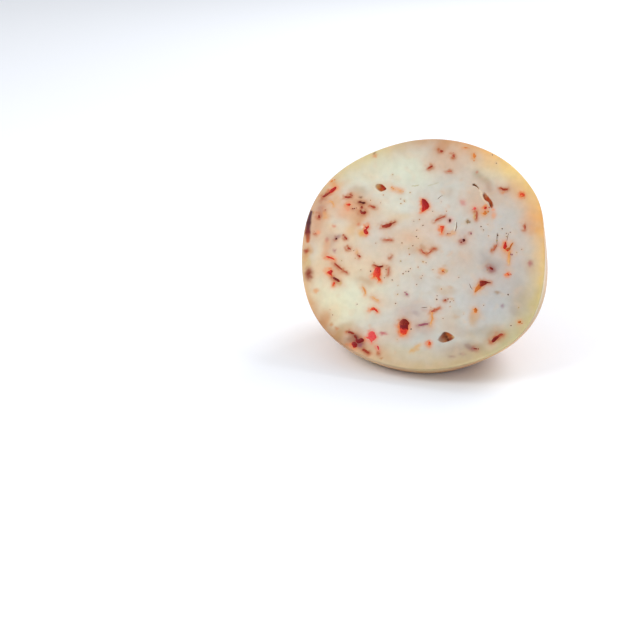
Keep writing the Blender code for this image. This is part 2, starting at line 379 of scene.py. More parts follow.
# Flakes that the cut shows edge on, or curled: width in mm, tones from one end to the other, path in mm
shreds = {
    "rose": (
        (1.2, (0.35, 0.45), ((-18.0, -59.9), (-17.1, -60.8), (-16.5, -62.3))),
    ),
    "bright": (
        (1.15, (0.7, 0.52), ((-25.6, -38.9), (-24.9, -38.0), (-23.7, -37.5), (-22.4, -38.0), (-21.4, -38.9),
                             (-20.6, -39.5))),
        (1.1, (0.46, 0.68), ((-57.7, -9.1), (-55.5, -9.3), (-53.9, -9.8), (-52.4, -10.2))),
        (2.2, (0.3, 0.42), ((-59.0, 35.4), (-61.1, 33.1), (-62.4, 31.7))),
    ),
    "dark": (
        (1.5, (0.34, 0.42), ((-66.4, 28.4), (-64.4, 30.0), (-62.0, 31.9))),
        (0.9, (0.72, 0.64), ((-0.3, 1.6), (1.0, -0.2), (2.7, -0.9))),
        (0.9, (0.66, 0.7), ((3.7, -0.9), (5.0, 0.2), (6.2, 1.5))),
        (0.9, (0.6, 0.72), ((6.0, 1.8), (7.2, 2.8), (8.3, 2.6))),
        (1.3, (0.44, 0.5), ((-52.5, 29.9), (-50.6, 29.7), (-48.2, 30.0))),
        (1.2, (0.58, 0.56), ((-35.4, 25.7), (-33.7, 25.1), (-31.9, 24.8))),
        (2.2, (0.46, 0.36), ((-26.2, 13.4), (-23.9, 13.8), (-21.8, 14.6), (-20.7, 15.8))),
        (0.5, (0.3, 0.45), ((-20.9, 15.6), (-19.6, 16.2), (-18.4, 17.1))),
        (1.0, (0.72, 0.76), ((-23.5, 5.1), (-21.2, 5.3), (-18.8, 5.4))),
        (1.2, (0.5, 0.54), ((-52.0, -12.5), (-49.5, -14.5), (-46.7, -16.1))),
        (0.7, (0.6, 0.75), ((-46.0, -16.6), (-44.0, -17.3), (-42.6, -18.0))),
        (1.6, (0.14, 0.3), ((-51.5, -21.7), (-50.1, -22.1), (-48.5, -22.8), (-47.0, -23.8))),
        (2.0, (0.2, 0.3), ((48.6, -48.8), (49.9, -46.9), (51.6, -45.2))),
        (1.3, (0.38, 0.58), ((51.2, -45.5), (52.6, -44.2), (54.0, -43.5))),
        (0.9, (0.5, 0.16), ((-27.6, -11.0), (-26.2, -11.6), (-24.4, -11.9), (-23.0, -11.7), (-21.9, -11.1))),
        (1.0, (0.42, 0.5), ((41.3, 44.0), (42.4, 43.3), (43.7, 42.9), (45.5, 43.3))),
        (1.4, (0.55, 0.9), ((11.0, -35.5), (12.3, -34.8), (14.0, -33.9), (15.8, -32.8))),
        (1.0, (0.7, 0.62), ((29.3, 28.2), (29.8, 25.8), (29.9, 23.4))),
        (1.3, (0.8, 0.94), ((-18.4, -11.9), (-18.0, -13.8), (-18.1, -16.0))),
        (1.4, (0.25, 0.3), ((-32.6, -55.3), (-31.8, -56.2), (-30.9, -57.2))),
        (1.2, (0.32, 0.4), ((-36.9, -54.0), (-35.7, -53.7), (-34.4, -54.0), (-32.9, -54.5))),
        (1.7, (0.42, 0.5), ((-26.6, -63.1), (-25.2, -63.4), (-23.5, -64.3), (-21.8, -64.9))),
        (0.95, (0.6, 0.68), ((5.3, 19.9), (6.4, 20.9), (8.3, 22.0), (11.1, 23.4))),
        (0.75, (0.68, 0.8), ((43.9, 9.1), (43.2, 7.6), (42.6, 6.0), (41.9, 5.0))),
    ),
    "orange": (
        (0.9, (0.25, 0.1), ((52.8, 11.1), (51.9, 9.2), (51.3, 7.1), (50.3, 6.1), (49.0, 6.7))),
        (0.8, (0.7, 0.8), ((-61.7, 26.5), (-59.9, 26.0), (-58.8, 24.8), (-58.1, 23.2))),
        (1.3, (0.6, 0.84), ((51.5, 5.7), (51.6, 3.6), (51.9, 0.9), (52.0, -1.7))),
        (0.9, (0.6, 0.7), ((11.9, -35.7), (11.8, -37.5), (12.6, -39.5), (11.9, -41.6), (11.8, -43.4))),
        (0.7, (0.7, 0.85), ((-25.4, -30.4), (-23.8, -31.6), (-22.4, -32.3), (-21.1, -32.7))),
        (1.0, (0.6, 0.75), ((-32.1, -25.5), (-30.9, -27.0), (-30.1, -28.4), (-29.8, -29.6))),
        (0.9, (0.85, 0.9), ((15.2, 12.8), (16.5, 13.0), (18.4, 13.8))),
    ),
    "mauve": (
        (1.2, (0.5, 0.4), ((4.7, -44.3), (6.1, -44.2), (8.0, -43.3), (10.4, -42.9))),
    ),
}

# The rest, as small torn chips: across, up, length, width in mm, turn in degrees, tone
chips = {
    "rose": (
        (28.0, 29.8, 2.0, 1.8, 5, 0.6),
    ),
    "bright": (
        (-50.3, -25.4, 3.0, 1.8, 75, 0.66), (52.2, -8.1, 2.1, 1.7, 6, 0.7),
        (34.1, 30.8, 2.0, 1.9, 20, 0.42), (54.4, 40.6, 3.2, 2.7, -31, 0.7), (50.2, 6.2, 1.6, 1.1, -20, 0.6),
    ),
    "dark": (
        (-40.6, 24.2, 2.2, 1.6, 99, 0.42), (-47.7, 3.9, 3.2, 1.6, -38, 0.48),
        (-53.4, 2.8, 1.7, 1.4, 56, 0.0), (-44.4, -2.5, 3.0, 2.0, -14, 0.52),
        (-48.9, 31.5, 1.5, 1.2, 0, 0.6), (-66.6, 15.7, 2.8, 1.9, 95, 0.42), (24.1, 9.7, 2.1, 1.8, 60, 0.0),
        (22.8, 8.4, 1.4, 1.0, 20, 0.3), (10.9, 61.5, 3.0, 1.7, -63, 0.6), (14.2, 12.8, 1.1, 0.9, 0, 0.3),
        (-2.2, 53.3, 4.2, 1.9, 42, 0.46), (9.7, 51.5, 3.4, 1.3, 5, 0.8), (18.4, -27.5, 1.5, 1.2, 20, 0.5),
        (42.4, -5.5, 2.9, 1.4, -32, 0.24), (-37.2, -6.6, 1.8, 1.2, -40, 0.52),
        (-16.2, -64.3, 1.4, 1.0, 8, 0.7), (-45.2, 23.1, 0.9, 0.8, 0, 0.3), (39.6, -54.0, 2.6, 1.0, 2, 0.3),
        (-18.1, -5.3, 1.6, 0.9, 58, 0.92), (58.5, 21.0, 3.4, 1.1, 97, 0.6), (3.0, 63.9, 2.8, 1.8, 4, 0.46),
        (14.5, -10.5, 1.3, 1.0, 0, 0.6), (-67.1, 4.7, 1.6, 1.1, -38, 0.84), (-63.4, 20.4, 1.2, 0.9, 0, 0.7),
    ),
    "orange": (
        (-62.4, 39.0, 2.6, 1.1, 40, 0.46), (-22.9, 37.8, 2.0, 0.9, -30, 0.6),
        (-18.8, 36.8, 2.4, 0.9, -8, 0.8), (-39.1, -3.8, 1.8, 0.8, 99, 0.9),
        (34.2, 27.4, 2.8, 2.6, 43, 0.36), (23.2, 62.5, 3.8, 2.4, 98, 0.48), (17.5, 67.2, 2.6, 1.1, 4, 0.4),
        (14.9, -10.1, 3.2, 2.4, 6, 0.55), (36.8, -31.5, 3.0, 2.6, 98, 0.26),
        (62.5, -35.4, 2.0, 1.7, 7, 0.16),
    ),
    "mauve": (
        (-28.2, -60.8, 2.6, 1.3, 25, 0.45), (-4.9, -26.7, 1.8, 1.2, -30, 0.6),
        (20.2, 33.0, 2.0, 1.7, -30, 0.9), (27.8, 14.2, 1.6, 1.0, 85, 0.6), (52.4, 4.1, 1.0, 0.9, 0, 0.5),
    ),
}

# Ground seeds and specks, under a millimetre or so, by their place in mm
specks = (
    (-24.5, 46.6), (-28.4, 33.2), (-12.2, 36.2), (-17.3, 31.6), (-14.9, 30.5), (-16.8, 28.8), (-29.3, 28.1),
    (-35.8, 29.1), (-29.4, 24.0), (-30.3, 21.9), (-45, 23), (-63.7, 20.5), (-7.3, 18.5), (-4.0, 19.9),
    (-1.4, 16.5), (-4.7, 13.1), (-25.3, 13.5), (-4.3, 9.2), (-3.1, 8.1), (-58, 8.2), (-12.4, 4.3),
    (-28.4, 2.6), (-5.6, 3.3), (-7.8, 1.3), (-6.9, -2.2), (-41.3, -3.4), (-39.7, -8.1), (-0.6, -9.5),
    (-27.6, -9.5), (-47.8, -10.5), (-5.1, -10.9), (-5.9, -12.7), (-7.5, -12.8), (-9.0, -14.4), (-35, -14.9),
    (-28.9, -15.1), (-19.6, -13), (-18.1, -13.7), (-19.9, -18.2), (2.7, -14.3), (2.2, -16.0), (3.8, -6.4),
    (1.9, -5.9), (0.1, -20.1), (13.2, -25.5), (13.3, -27.7), (15.1, -21.1), (8.5, -10.1), (12.0, 0.9),
    (16.4, -0.3), (17.3, 0.8), (18.2, 1.8), (-11.6, -6.9), (-11, -22), (-15, -19), (17, 47), (7.1, 38.1),
    (10.7, 28.3), (12.3, 29.7), (11.5, 26.6), (3.2, 25.8), (7.6, 32.2), (21.8, 34.2), (23.7, 39.4),
    (28, 14), (24.4, -13.1), (21.6, -31.1), (23.3, -27.2), (21.3, -28.3), (10.5, -32.8), (30.1, -34.6),
    (31.4, -39.1), (18.6, -38.7), (0.8, -47.2), (11.8, -37.5), (11.9, -41.6), (-10.3, -27.3), (-10.8, -33),
    (-6.6, -54.4), (-6.9, -62.3), (-24, -48), (-23.7, -49.2), (-34, -36.3), (-48, -44.6), (-50.1, -41.5),
    (36.9, 20.8), (33.1, 19.1), (34.9, 17.2), (38.3, 13.9), (45.6, 19.0), (50.5, 17.3), (48.4, 16.4),
    (48.7, 14.5), (43.5, 14.7), (43.4, 11.5), (55.8, 5.5), (58.3, 7.8), (40.2, -6.8), (54, -20), (41, -28),
    (61, -27), (33, -58), (58, -38), (37, 59), (34, 64),
)

# How the chilli lies in the face, in mm
chilliSet = {
    "seed": 23,
    "sunk": 1.0,
    "rootSize": 0.85,  # how wide its sunk end is, as a share
    "proud": {"rose": 0.28, "bright": 0.26, "dark": 0.18, "orange": 0.1, "mauve": 0.05},
    "section": ((0, 1), (0.8, 0.82), (1, 0.45)),  # height as a share of proud, and width as a share
    "ragged": 0.13,
    "roughTop": 0.35,  # as a share of proud
    "slender": 2.2,  # from this ratio of length to width a chip bends and comes to a point
    "corners": (9, 10, 11),
    "slenderCorners": 12,
    "bend": 0.8,
    "reach": (0.68, 1.12),  # how unevenly it is torn
    "crumbs": (0, 0, 1, 1, 2),
    "crumbSize": (0.4, 0.9),
    "crumbGap": (0.3, 1.3),
    "toneSpread": 0.08,
    "toneScatter": 0.08,
    # The pale thin edge, much stronger at the lower left, is partly a painted highlight
    "paleEdge": 0.22,
    "paleShare": (0.3, 1.4),  # of paleEdge: all round, and how much more at the lower left
}
speckSet = {
    "size": (0.26, 0.52),
    "sunk": 0.5,
    "proud": 0.06,
    "endSize": 0.8,
    "slimness": (0.55, 1.0),
    "reach": (0.75, 1.2),
    "tones": (0, 0.1, 0.3, 0.6, 0.9),
}
toLowerLeft = (-0.5, -0.87)


# An uneven, torn chip; a long one bends a little and comes to a point at both ends
def chipOutline(length, width, turn, dice):
    slender = length / width > chilliSet["slender"]
    corners = chilliSet["slenderCorners"] if slender else dice.choice(chilliSet["corners"])
    bend = dice.uniform(-chilliSet["bend"], chilliSet["bend"])
    outline = []
    for corner in range(corners):
        angle = 2 * math.pi * (corner + dice.uniform(-0.3, 0.3)) / corners
        reach = dice.uniform(*chilliSet["reach"])
        x = math.cos(angle) * length / 2 * (1 if slender else reach)
        y = math.sin(angle) * width / 2 * reach
        if slender:
            y += ((x / length) ** 2 - 0.12) * width * bend
        outline.append(Vector((x, y)))
    spin = Matrix.Rotation(math.radians(turn), 2)
    return [spin @ point for point in outline]


# Writes how light the chilli's colour is at each point: from the first tone to the second along lean, and
# paler at its thin edge, most at the lower left, where the extra paleness is a painted highlight
def addTones(chip, tones, lean, proud, dice):
    points = readPoints(chip)
    along = points[:, :2] @ np.array(lean)
    along = (along - along.min()) / max(np.ptp(along), 0.01)
    values = tones[0] + (tones[1] - tones[0]) * along
    share = points[:, :2] @ np.array(toLowerLeft)
    share = (share - share.min()) / max(np.ptp(share), 0.01)
    allRound, lowerLeft = chilliSet["paleShare"]
    pale = chilliSet["paleEdge"] * (allRound + lowerLeft * share)
    values += pale * (1 - smooth(0, proud * 0.9, points[:, 2] - ballForm["cutAt"]))
    values += np.array([dice.uniform(-1, 1) for _ in points]) * chilliSet["toneScatter"]
    attribute = chip.data.attributes.new("tone", "FLOAT", "POINT")
    attribute.data.foreach_set("value", np.clip(values, 0, 1).astype(np.float32))


def addChip(kind, outline, tones, lean, dice):
    cutAt = ballForm["cutAt"]
    proud = chilliSet["proud"][kind]
    levels = [(cutAt - chilliSet["sunk"], (chilliSet["rootSize"], chilliSet["rootSize"]), (0, 0))]
    levels += [(cutAt + proud * height, (size, size), (0, 0)) for height, size in chilliSet["section"]]
    ragged = chilliSet["ragged"]
    roughTop = chilliSet["roughTop"]
    outline = [Vector(point) + Vector((dice.uniform(-ragged, ragged), dice.uniform(-ragged, ragged)))
               for point in outline]
    chip = loft("chip", outline, levels)
    for vertex in chip.data.vertices:
        if vertex.co.z > (cutAt + proud * 0.5) * mm:
            vertex.co.z += dice.uniform(-roughTop, roughTop) * proud * mm
    addTones(chip, tones, lean, proud, dice)
    return chip


def joinPieces(name, pieces):
    bpy.ops.object.select_all(action="DESELECT")
    for piece in pieces:
        piece.select_set(True)
    bpy.context.view_layer.objects.active = pieces[0]
    bpy.ops.object.join()
    joined = bpy.context.object
    joined.name = name
    joined.data.name = name
    bpy.ops.object.select_all(action="DESELECT")
    return joined


def makeChilli(kind, dice):
    pieces = []
    for flake in flakes.values():
        if flake["kind"] == kind:
            outline = roundOutline(flake["outline"], 3)
            pieces.append(addChip(kind, outline, flake["tones"], toLowerLeft, dice))
    for width, tones, path in shreds.get(kind, ()):
        lean = Vector(path[-1]) - Vector(path[0])
        pieces.append(addChip(kind, roundOutline(alongPath(path, width), 2), tones, lean, dice))
    for across, up, length, width, turn, tone in chips[kind]:
        place = Vector((across, up))
        spread = chilliSet["toneSpread"]
        outline = [place + point for point in chipOutline(length, width, turn, dice)]
        pieces.append(addChip(kind, outline, (tone - spread, tone + spread), toLowerLeft, dice))
        # A few crumbs lie beyond its ends
        for _ in range(dice.choice(chilliSet["crumbs"])):
            end = dice.choice((-1, 1)) * (length / 2 + dice.uniform(*chilliSet["crumbGap"]))
            aside = dice.uniform(-0.5, 0.5) * width
            crumbPlace = place + Matrix.Rotation(math.radians(turn), 2) @ Vector((end, aside))
            size = dice.uniform(*chilliSet["crumbSize"])
            crumb = chipOutline(size * dice.uniform(1, 1.6), size, dice.uniform(0, 180), dice)
            crumb = [crumbPlace + point for point in crumb]
            pieces.append(addChip(kind, crumb, (tone, tone + spread), toLowerLeft, dice))
    return joinPieces("chilli_" + kind, pieces)


def makeSpecks(dice):
    pieces = []
    cutAt = ballForm["cutAt"]
    sixths = [math.radians(60 * corner) for corner in range(6)]
    ends = (speckSet["endSize"], speckSet["endSize"])
    levels = ((cutAt - speckSet["sunk"], ends, (0, 0)), (cutAt, (1, 1), (0, 0)),
              (cutAt + speckSet["proud"], ends, (0, 0)))
    for across, up in specks:
        size = dice.uniform(*speckSet["size"])
        place = Vector((across, up))
        spin = Matrix.Rotation(dice.uniform(0, math.pi), 2)
        slim = dice.uniform(*speckSet["slimness"])
        outline = []
        for angle in sixths:
            corner = spin @ Vector((math.cos(angle), math.sin(angle) * slim))
            outline.append(place + corner * size * dice.uniform(*speckSet["reach"]))
        speck = loft("speck", outline, levels)
        tone = dice.choice(speckSet["tones"])
        addTones(speck, (tone, tone), (1, 0), speckSet["proud"], dice)
        pieces.append(speck)
    return joinPieces("specks", pieces)


# The paste's colours, with some painted light and shade. Clouds: across, up, half length, half width in mm,
# turn, colour, strength
pasteColour = "#d3cec4"
clouds = (
    # Dense curd: creamy on the left, white green above, grey to the right and below. The lighter left and
    # greyer right are partly the curd's own colour and partly painted light and shade
    (-44, -34, 27, 20, 28, "#e6e1c0", 0.95),
    (-34, -28, 13, 11, 0, "#e1e2ce", 0.6),
    (-60, -6, 8, 22, 8, "#e4d2ae", 0.7),
    (-30, 49, 30, 11, 24, "#dddcc8", 0.9),
    (-12, 48, 15, 10, 0, "#dcdec9", 0.85),
    (-22, 30, 17, 11, 0, "#dfe0d0", 0.7),
    (-46, 4, 9, 8, 0, "#ddd8bc", 0.5),
    (50, 8, 26, 46, 0, "#c8c2bc", 0.85),
    (54, -16, 17, 22, 0, "#bebab8", 0.7),
    (36, 18, 15, 6, 0, "#d0c8c0", 0.6),
    (6, -51, 25, 9, 0, "#c7cac5", 0.85),
    (46, -31, 13, 9, 0, "#c2c3c3", 0.8),
    (22, -26, 12, 9, 0, "#cacbca", 0.6),
    (14, 8, 9, 9, 0, "#cfcdc8", 0.7),
    (3, -20, 8, 8, 0, "#d0cbc4", 0.6),
    (-3, -17, 5, 4, 0, "#ccbcae", 0.5),
    (8, 44, 10, 5, 0, "#cdcac0", 0.6),
    (34, 54, 12, 6, -25, "#d9ceb0", 0.7),
    (-7, -62, 26, 5, -4, "#cec5aa", 0.7),
    (-52, -27, 6, 4, 0, "#e8e0c6", 0.5),
    # Softer, oilier curd: peach and tan
    (-46, 2, 13, 19, 0, "#e6c69e", 0.45),
    (-38, 22, 10, 10, 0, "#dcb48c", 0.5),
    (-40, 27, 6, 4, 0, "#c8966e", 0.45),
    (-57, 25, 6, 9, 0, "#dcae7e", 0.4),
    (-66.5, 11, 4.5, 9, 0, "#cc9672", 0.7),
    (-27, -11, 20, 9, 0, "#e8caa4", 0.45),
    (-64, -17, 7, 7, 0, "#e0bc90", 0.5),
    (-40, -17, 8, 6, 0, "#e2c4a0", 0.4),
    (-48, -44, 7, 7, 0, "#e0c69e", 0.5),
    (-38, -53, 7, 4, 35, "#cca880", 0.5),
    (-13, -52, 6, 5, 0, "#dcbfa0", 0.5),
    (-20, -61, 8, 4, 0, "#b89070", 0.5),
    (-4, -47, 5.5, 7, 0, "#c8a084", 0.6),
    (24, -43, 8, 4, -15, "#ccae92", 0.5),
    (29, 39, 12, 7, -45, "#dab08c", 0.5),
    (42, 37, 8, 5, 0, "#d8b498", 0.4),
    (-3, 8, 12, 8, 0, "#dcb890", 0.3),
    (6, 64, 9, 4, 0, "#cc9c78", 0.5),
    (-24, 21, 10, 8, 0, "#dfc8a8", 0.35),
    (28.5, -1.5, 4.2, 4.2, 0, "#dcb49a", 0.4),
    (-39, 46, 6, 5, 0, "#dcd0b6", 0.7),
    (-57, 37, 5, 4, 30, "#d6ab7c", 0.6),
    (-57, 28, 4, 4, 0, "#d8aa7a", 0.6),
    (-30, 38, 6, 4.5, -20, "#dcc09c", 0.5),
    (-8, 8, 13, 5, -4, "#dbb99a", 0.7),
    (-19, 1, 12, 5, 12, "#dfbd98", 0.4),
    (-14, 20, 9, 4, 0, "#dcc6a2", 0.6),
    (0, 21, 8, 6, 0, "#dec9b4", 0.5),
    (4, 14, 9, 5, 0, "#ddc2b0", 0.5),
    (2, 1, 9, 4, 10, "#cba888", 0.7),
    (27, -2, 9, 9, 0, "#cfbaa8", 0.6),
    (19, -20, 8, 4, 0, "#d0b89e", 0.7),
    (-20, -32, 9, 5, -20, "#dcc8b2", 0.7),
    (-30, -17, 5, 4, 0, "#d8c2a8", 0.5),
    (-31, -23, 5, 3.5, 0, "#c8a888", 0.8),
    (-50, -18, 8, 5, -35, "#d3a985", 0.7),
    (-42, 10, 5, 6, 0, "#dcae78", 0.6),
    (-39.5, 17.5, 4, 4.5, 0, "#cf9260", 0.7),
    (-47, 18, 5, 4, 0, "#dcac82", 0.6),
    (-42, 25, 7, 8, 0, "#cfa078", 0.65),
    (-50, 21, 6, 4, 0, "#e3a880", 0.7),
    (-57, 10, 5, 4, 0, "#e8c498", 0.5),
    (8, 57, 16, 8, -10, "#d3b59c", 0.8),
    (3, 68, 5, 3, 0, "#c08a62", 0.8),
    (25, -38, 5, 4, 0, "#cab8a4", 0.5),
    (39, -35, 3, 5.5, 12, "#cfa880", 0.8),
    (33, 29, 8, 5, 0, "#cfa68c", 0.6),
    (54, 44, 9, 6, -45, "#dfae8c", 0.8),
    (61, 28, 5, 10, 12, "#dba680", 0.8),
    (64, 18.5, 4, 3, 0, "#cf8c62", 0.8),
    (62, -20, 6, 9, 12, "#baa79a", 0.7),
    (-52, -46, 3, 4.5, 10, "#d9a070", 0.7),
    (-21, 37.4, 4.8, 1.7, -16, "#dfae8c", 0.65),
    (-59, -5.5, 3, 4, 0, "#e6a878", 0.6),
    (35.5, -47, 4, 3, 0, "#cbb392", 0.5),
    # Dim, greyed curd above flakes that lie deeper
    (-57, -1, 6, 9, 15, "#c9a48c", 0.7),
    (-54, 2, 4, 3.5, 0, "#b2a096", 0.6),
    (-42, 33, 6, 3, 0, "#beae96", 0.7),
    (-66, 26, 4, 7, -12, "#c79474", 0.8),
    (-67.5, 20, 2.8, 4, 0, "#a06a68", 0.8),
    (-62.5, 17.5, 3, 4.5, 0, "#dba06a", 0.7),
    (10, 37, 4, 3, 0, "#c9b6a2", 0.6),
    (25, 11, 5, 4, 0, "#bcb0ae", 0.3),
    (28, 49.5, 5, 3, -40, "#b2a68e", 0.8),
    (33, 44, 6, 3, -40, "#bb9f8c", 0.8),
    (45, 42, 6, 3, 0, "#c2a298", 0.6),
    (43, -3, 6, 5, -20, "#a29a96", 0.75),
    (64.5, 0, 5, 4, 0, "#bfa69a", 0.7),
    (61, -27.5, 3, 3, 0, "#aaa09e", 0.7),
    (-1, -36, 10, 6, 0, "#c3b2aa", 0.8),
    (6, -44, 6, 3.6, 10, "#b8a8a0", 0.7),
    (33, -44, 5, 4, 0, "#bab0a6", 0.6),
    (42, -44, 6, 4, 0, "#aca296", 0.6),
    (29, -57, 11, 6, 0, "#b8a598", 0.8),
    (40, -54, 7, 3.5, 0, "#9b8878", 0.8),
    (50, -46, 7, 3.5, 45, "#a08a76", 0.8),
    (-43, -55, 6, 4, 42, "#b58f5a", 0.8),
    (-36.5, -51, 5, 4, 0, "#c8b290", 0.7),
    (-30, -53, 4, 2.5, 0, "#c0a68c", 0.5),
    (-30, -59, 5.6, 4.2, -22, "#a0684f", 0.8),
    (-24, -64.4, 5, 1.8, -24, "#a46a46", 0.7),
    (-14, -66.5, 6, 3, -12, "#c99a70", 0.6),
    (-71, -7, 2.4, 4, 0, "#c89664", 0.8),
    (-70.5, -14, 2.4, 4, 8, "#cdb482", 0.8),
)

# Flakes just under the cut, seen dimly, stains, and two small painted highlights in cream: across, up, half
# length, half width in mm, turn, colour, strength
deepFlakes = (
    (-55.9, 10.7, 1.2, 1.0, 0, "#d8765c", 0.7),
    (-59.2, 1.3, 1.9, 1.0, 97, "#b86a66", 0.75),
    (-52.6, 4.2, 2.6, 1.2, 40, "#8c6a70", 0.6),
    (-53.0, -5.0, 1.4, 0.9, 70, "#a8686a", 0.8),
    (20.2, 33.0, 2.2, 1.9, -30, "#d89088", 0.7),
    (-15.3, -52.2, 2.2, 1.2, 5, "#be5c60", 0.9),
    (-60.5, -30.8, 1.8, 1.4, 7, "#e29a62", 0.75),
    (-37.6, 57.9, 1.8, 1.3, 4, "#d88c54", 0.8),
    (-38.1, 59.4, 1.3, 0.6, 31, "#8e6448", 0.85),
    (-38.2, 7.8, 2.0, 2.4, 20, "#e2a452", 0.85),
    (-40.6, 13.5, 1.2, 1.0, 0, "#d07850", 0.8),
    # A painted highlight in cream beside the comma flake
    (-38.1, 11.9, 0.8, 0.8, 0, "#f4e0c4", 0.8),
    (-39.4, 22.5, 1.1, 0.5, -10, "#eedcc4", 0.8),
    (-49.1, 22.6, 1.6, 1.4, 0, "#e8906a", 0.85),
    (-46.8, -24.6, 1.4, 1.1, 0, "#c8a468", 0.6),
    (-56.5, -17.3, 2.2, 1.8, 30, "#e8a070", 0.7),
    (-65.7, 5.8, 1.8, 1.8, 0, "#ec966a", 0.8),
    (-70.4, 18.0, 0.7, 0.7, 0, "#b87830", 0.8),
    (-63.3, 17.9, 1.4, 1.3, 0, "#dc9858", 0.7),
    (-62.8, 15.0, 1.4, 1.3, 0, "#dc9858", 0.7),
    (-66.5, 26.5, 2.6, 1.7, 40, "#a85c3c", 0.6),
    (39.7, 26.6, 1.5, 2.3, 5, "#e6a078", 0.8),
    (35.6, 28.4, 0.8, 0.8, 0, "#a88e50", 0.7),
    (28.4, 24.9, 0.8, 1.5, 0, "#e0bc78", 0.7),
    (34.4, 32.4, 1.1, 0.8, 0, "#e48848", 0.7),
    (42.9, 41.4, 1.5, 1.0, 0, "#dc8c5c", 0.7),
    (64.2, -0.3, 1.6, 1.8, 0, "#b5766e", 0.9),
    (26.3, 52.4, 0.7, 1.1, 0, "#c8765c", 0.8),
    (-60.6, 37.5, 2.2, 1.6, 50, "#dc9a60", 0.8),
    (51.7, -27.2, 1.1, 1.3, 0, "#96707c", 0.7),
    (48.2, -19.5, 1.8, 1.0, 0, "#a8886c", 0.8),
    (38.0, -54.3, 3.0, 1.6, 0, "#8a6668", 0.6),
    (3.2, -59.9, 2.2, 1.6, 50, "#dcac70", 0.85),
    (6.1, -57.0, 2.8, 1.6, 40, "#dcac70", 0.85),
    (42.5, -6.0, 3.0, 2.4, -20, "#946066", 0.75),
    (7.7, -43.7, 3.4, 1.1, 20, "#9a5c5e", 0.7),
    (-4.9, -26.7, 1.2, 0.9, -30, "#9c7c7c", 0.85),
    (27.8, 14.5, 1.0, 1.1, 80, "#a67c78", 0.7),
    (-42.3, 30.7, 1.6, 0.7, -5, "#784624", 0.9),
    (-14.2, -66.7, 1.3, 0.8, 8, "#bc7c48", 0.85),
    (-70.7, -9.5, 1.6, 6.5, -4, "#cc9050", 0.6),
    (-67.0, -21.1, 2.8, 4.4, 8, "#c07038", 0.7),
    (-70.9, -6.7, 1.6, 1.7, 0, "#a83c14", 0.95),
    (-67.0, -21.1, 2.1, 3.4, 8, "#842404", 0.97),
    (23.4, 9.4, 2.6, 2.2, 60, "#a88088", 0.5),
    (-66.6, 16.4, 1.8, 2.6, 5, "#b4603c", 0.6),
    (38.9, 30.2, 1.1, 1.0, 0, "#f08850", 0.8),
    (-47.8, 3.8, 1.8, 1.2, -38, "#a85a40", 0.6),
    (-41.0, 26.9, 3.4, 1.6, 0, "#985830", 0.8),
    (-39.2, 21.4, 3.0, 2.6, 0, "#b0683c", 0.6),
    (-58.6, -1.0, 2.4, 3.4, 0, "#e6a878", 0.5),
    (-14.6, 30.6, 1.2, 0.8, 0, "#c0b488", 0.6),
    (15.4, -7.0, 1.4, 1.0, 0, "#caa88c", 0.5),
    (12.3, -14.4, 1.4, 1.1, 0, "#caa88c", 0.5),
    (19.9, -19.4, 1.6, 1.1, 0, "#c8a484", 0.5),
    (22.0, -26.3, 2.0, 0.8, 10, "#c8a47c", 0.7),
    (14.3, 21.1, 2.2, 2.3, 0, "#e09a88", 0.6),
    (14.3, 21.1, 0.9, 1.2, 0, "#7a2218", 0.9),
    (16.9, -9.9, 0.7, 1.2, 0, "#b49a58", 0.7),
    (2.0, -6.0, 1.4, 0.8, 0, "#dcc08c", 0.6),
    # A painted highlight in cream inside the curled shred
    (4.3, 1.0, 1.2, 1.0, 0, "#f0e0c8", 0.35),
    (0.8, 3.2, 2.0, 1.2, -30, "#b88c6a", 0.6),
    (-7.9, 8.1, 4.5, 2.8, 0, "#e0b498", 0.4),
    (25.0, 21.2, 1.4, 1.5, 0, "#b08c5e", 0.7),
    (25.6, 21.3, 0.5, 0.9, 0, "#6e4428", 0.7),
    (26.2, -36.8, 2.0, 1.4, 0, "#c8a88a", 0.6),
    (26.7, -60.4, 2.2, 1.2, 0, "#9c7c70", 0.6),
    (32.6, -58.2, 2.0, 1.2, 0, "#94746c", 0.6),
    (35.5, -53.1, 2.0, 1.2, 0, "#8c6c64", 0.6),
    (2.0, -37.3, 2.6, 1.4, 0, "#ae9a98", 0.6),
    (6.8, -35.0, 2.2, 1.2, 0, "#c8a49c", 0.5),
    # Below on the left several flakes lie close together
    (-29.7, -58.9, 4.4, 3.0, -20, "#783438", 0.85),
    (-32.5, -55.6, 3.4, 1.8, -20, "#9c6c58", 0.6),
    (-35.0, -58.0, 2.4, 1.6, 0, "#a07860", 0.8),
    (-36.1, -61.4, 1.8, 1.2, 0, "#c87c4c", 0.8),
    (-42.3, -56.2, 2.6, 1.8, 40, "#bc9468", 0.7),
    (-43.8, -52.5, 1.4, 1.2, 0, "#c88250", 0.8),
    (-47.6, -50.4, 1.2, 1.2, 0, "#c88a58", 0.8),
    (-28.2, -60.8, 1.6, 1.1, 25, "#96505e", 0.8),
    (-35.0, -53.9, 2.0, 0.8, 0, "#7a4430", 0.8),
    (-31.5, -56.0, 1.6, 0.9, -40, "#7a4034", 0.8),
    (-24.2, -64.1, 3.0, 1.1, -22, "#a85832", 0.8),
)

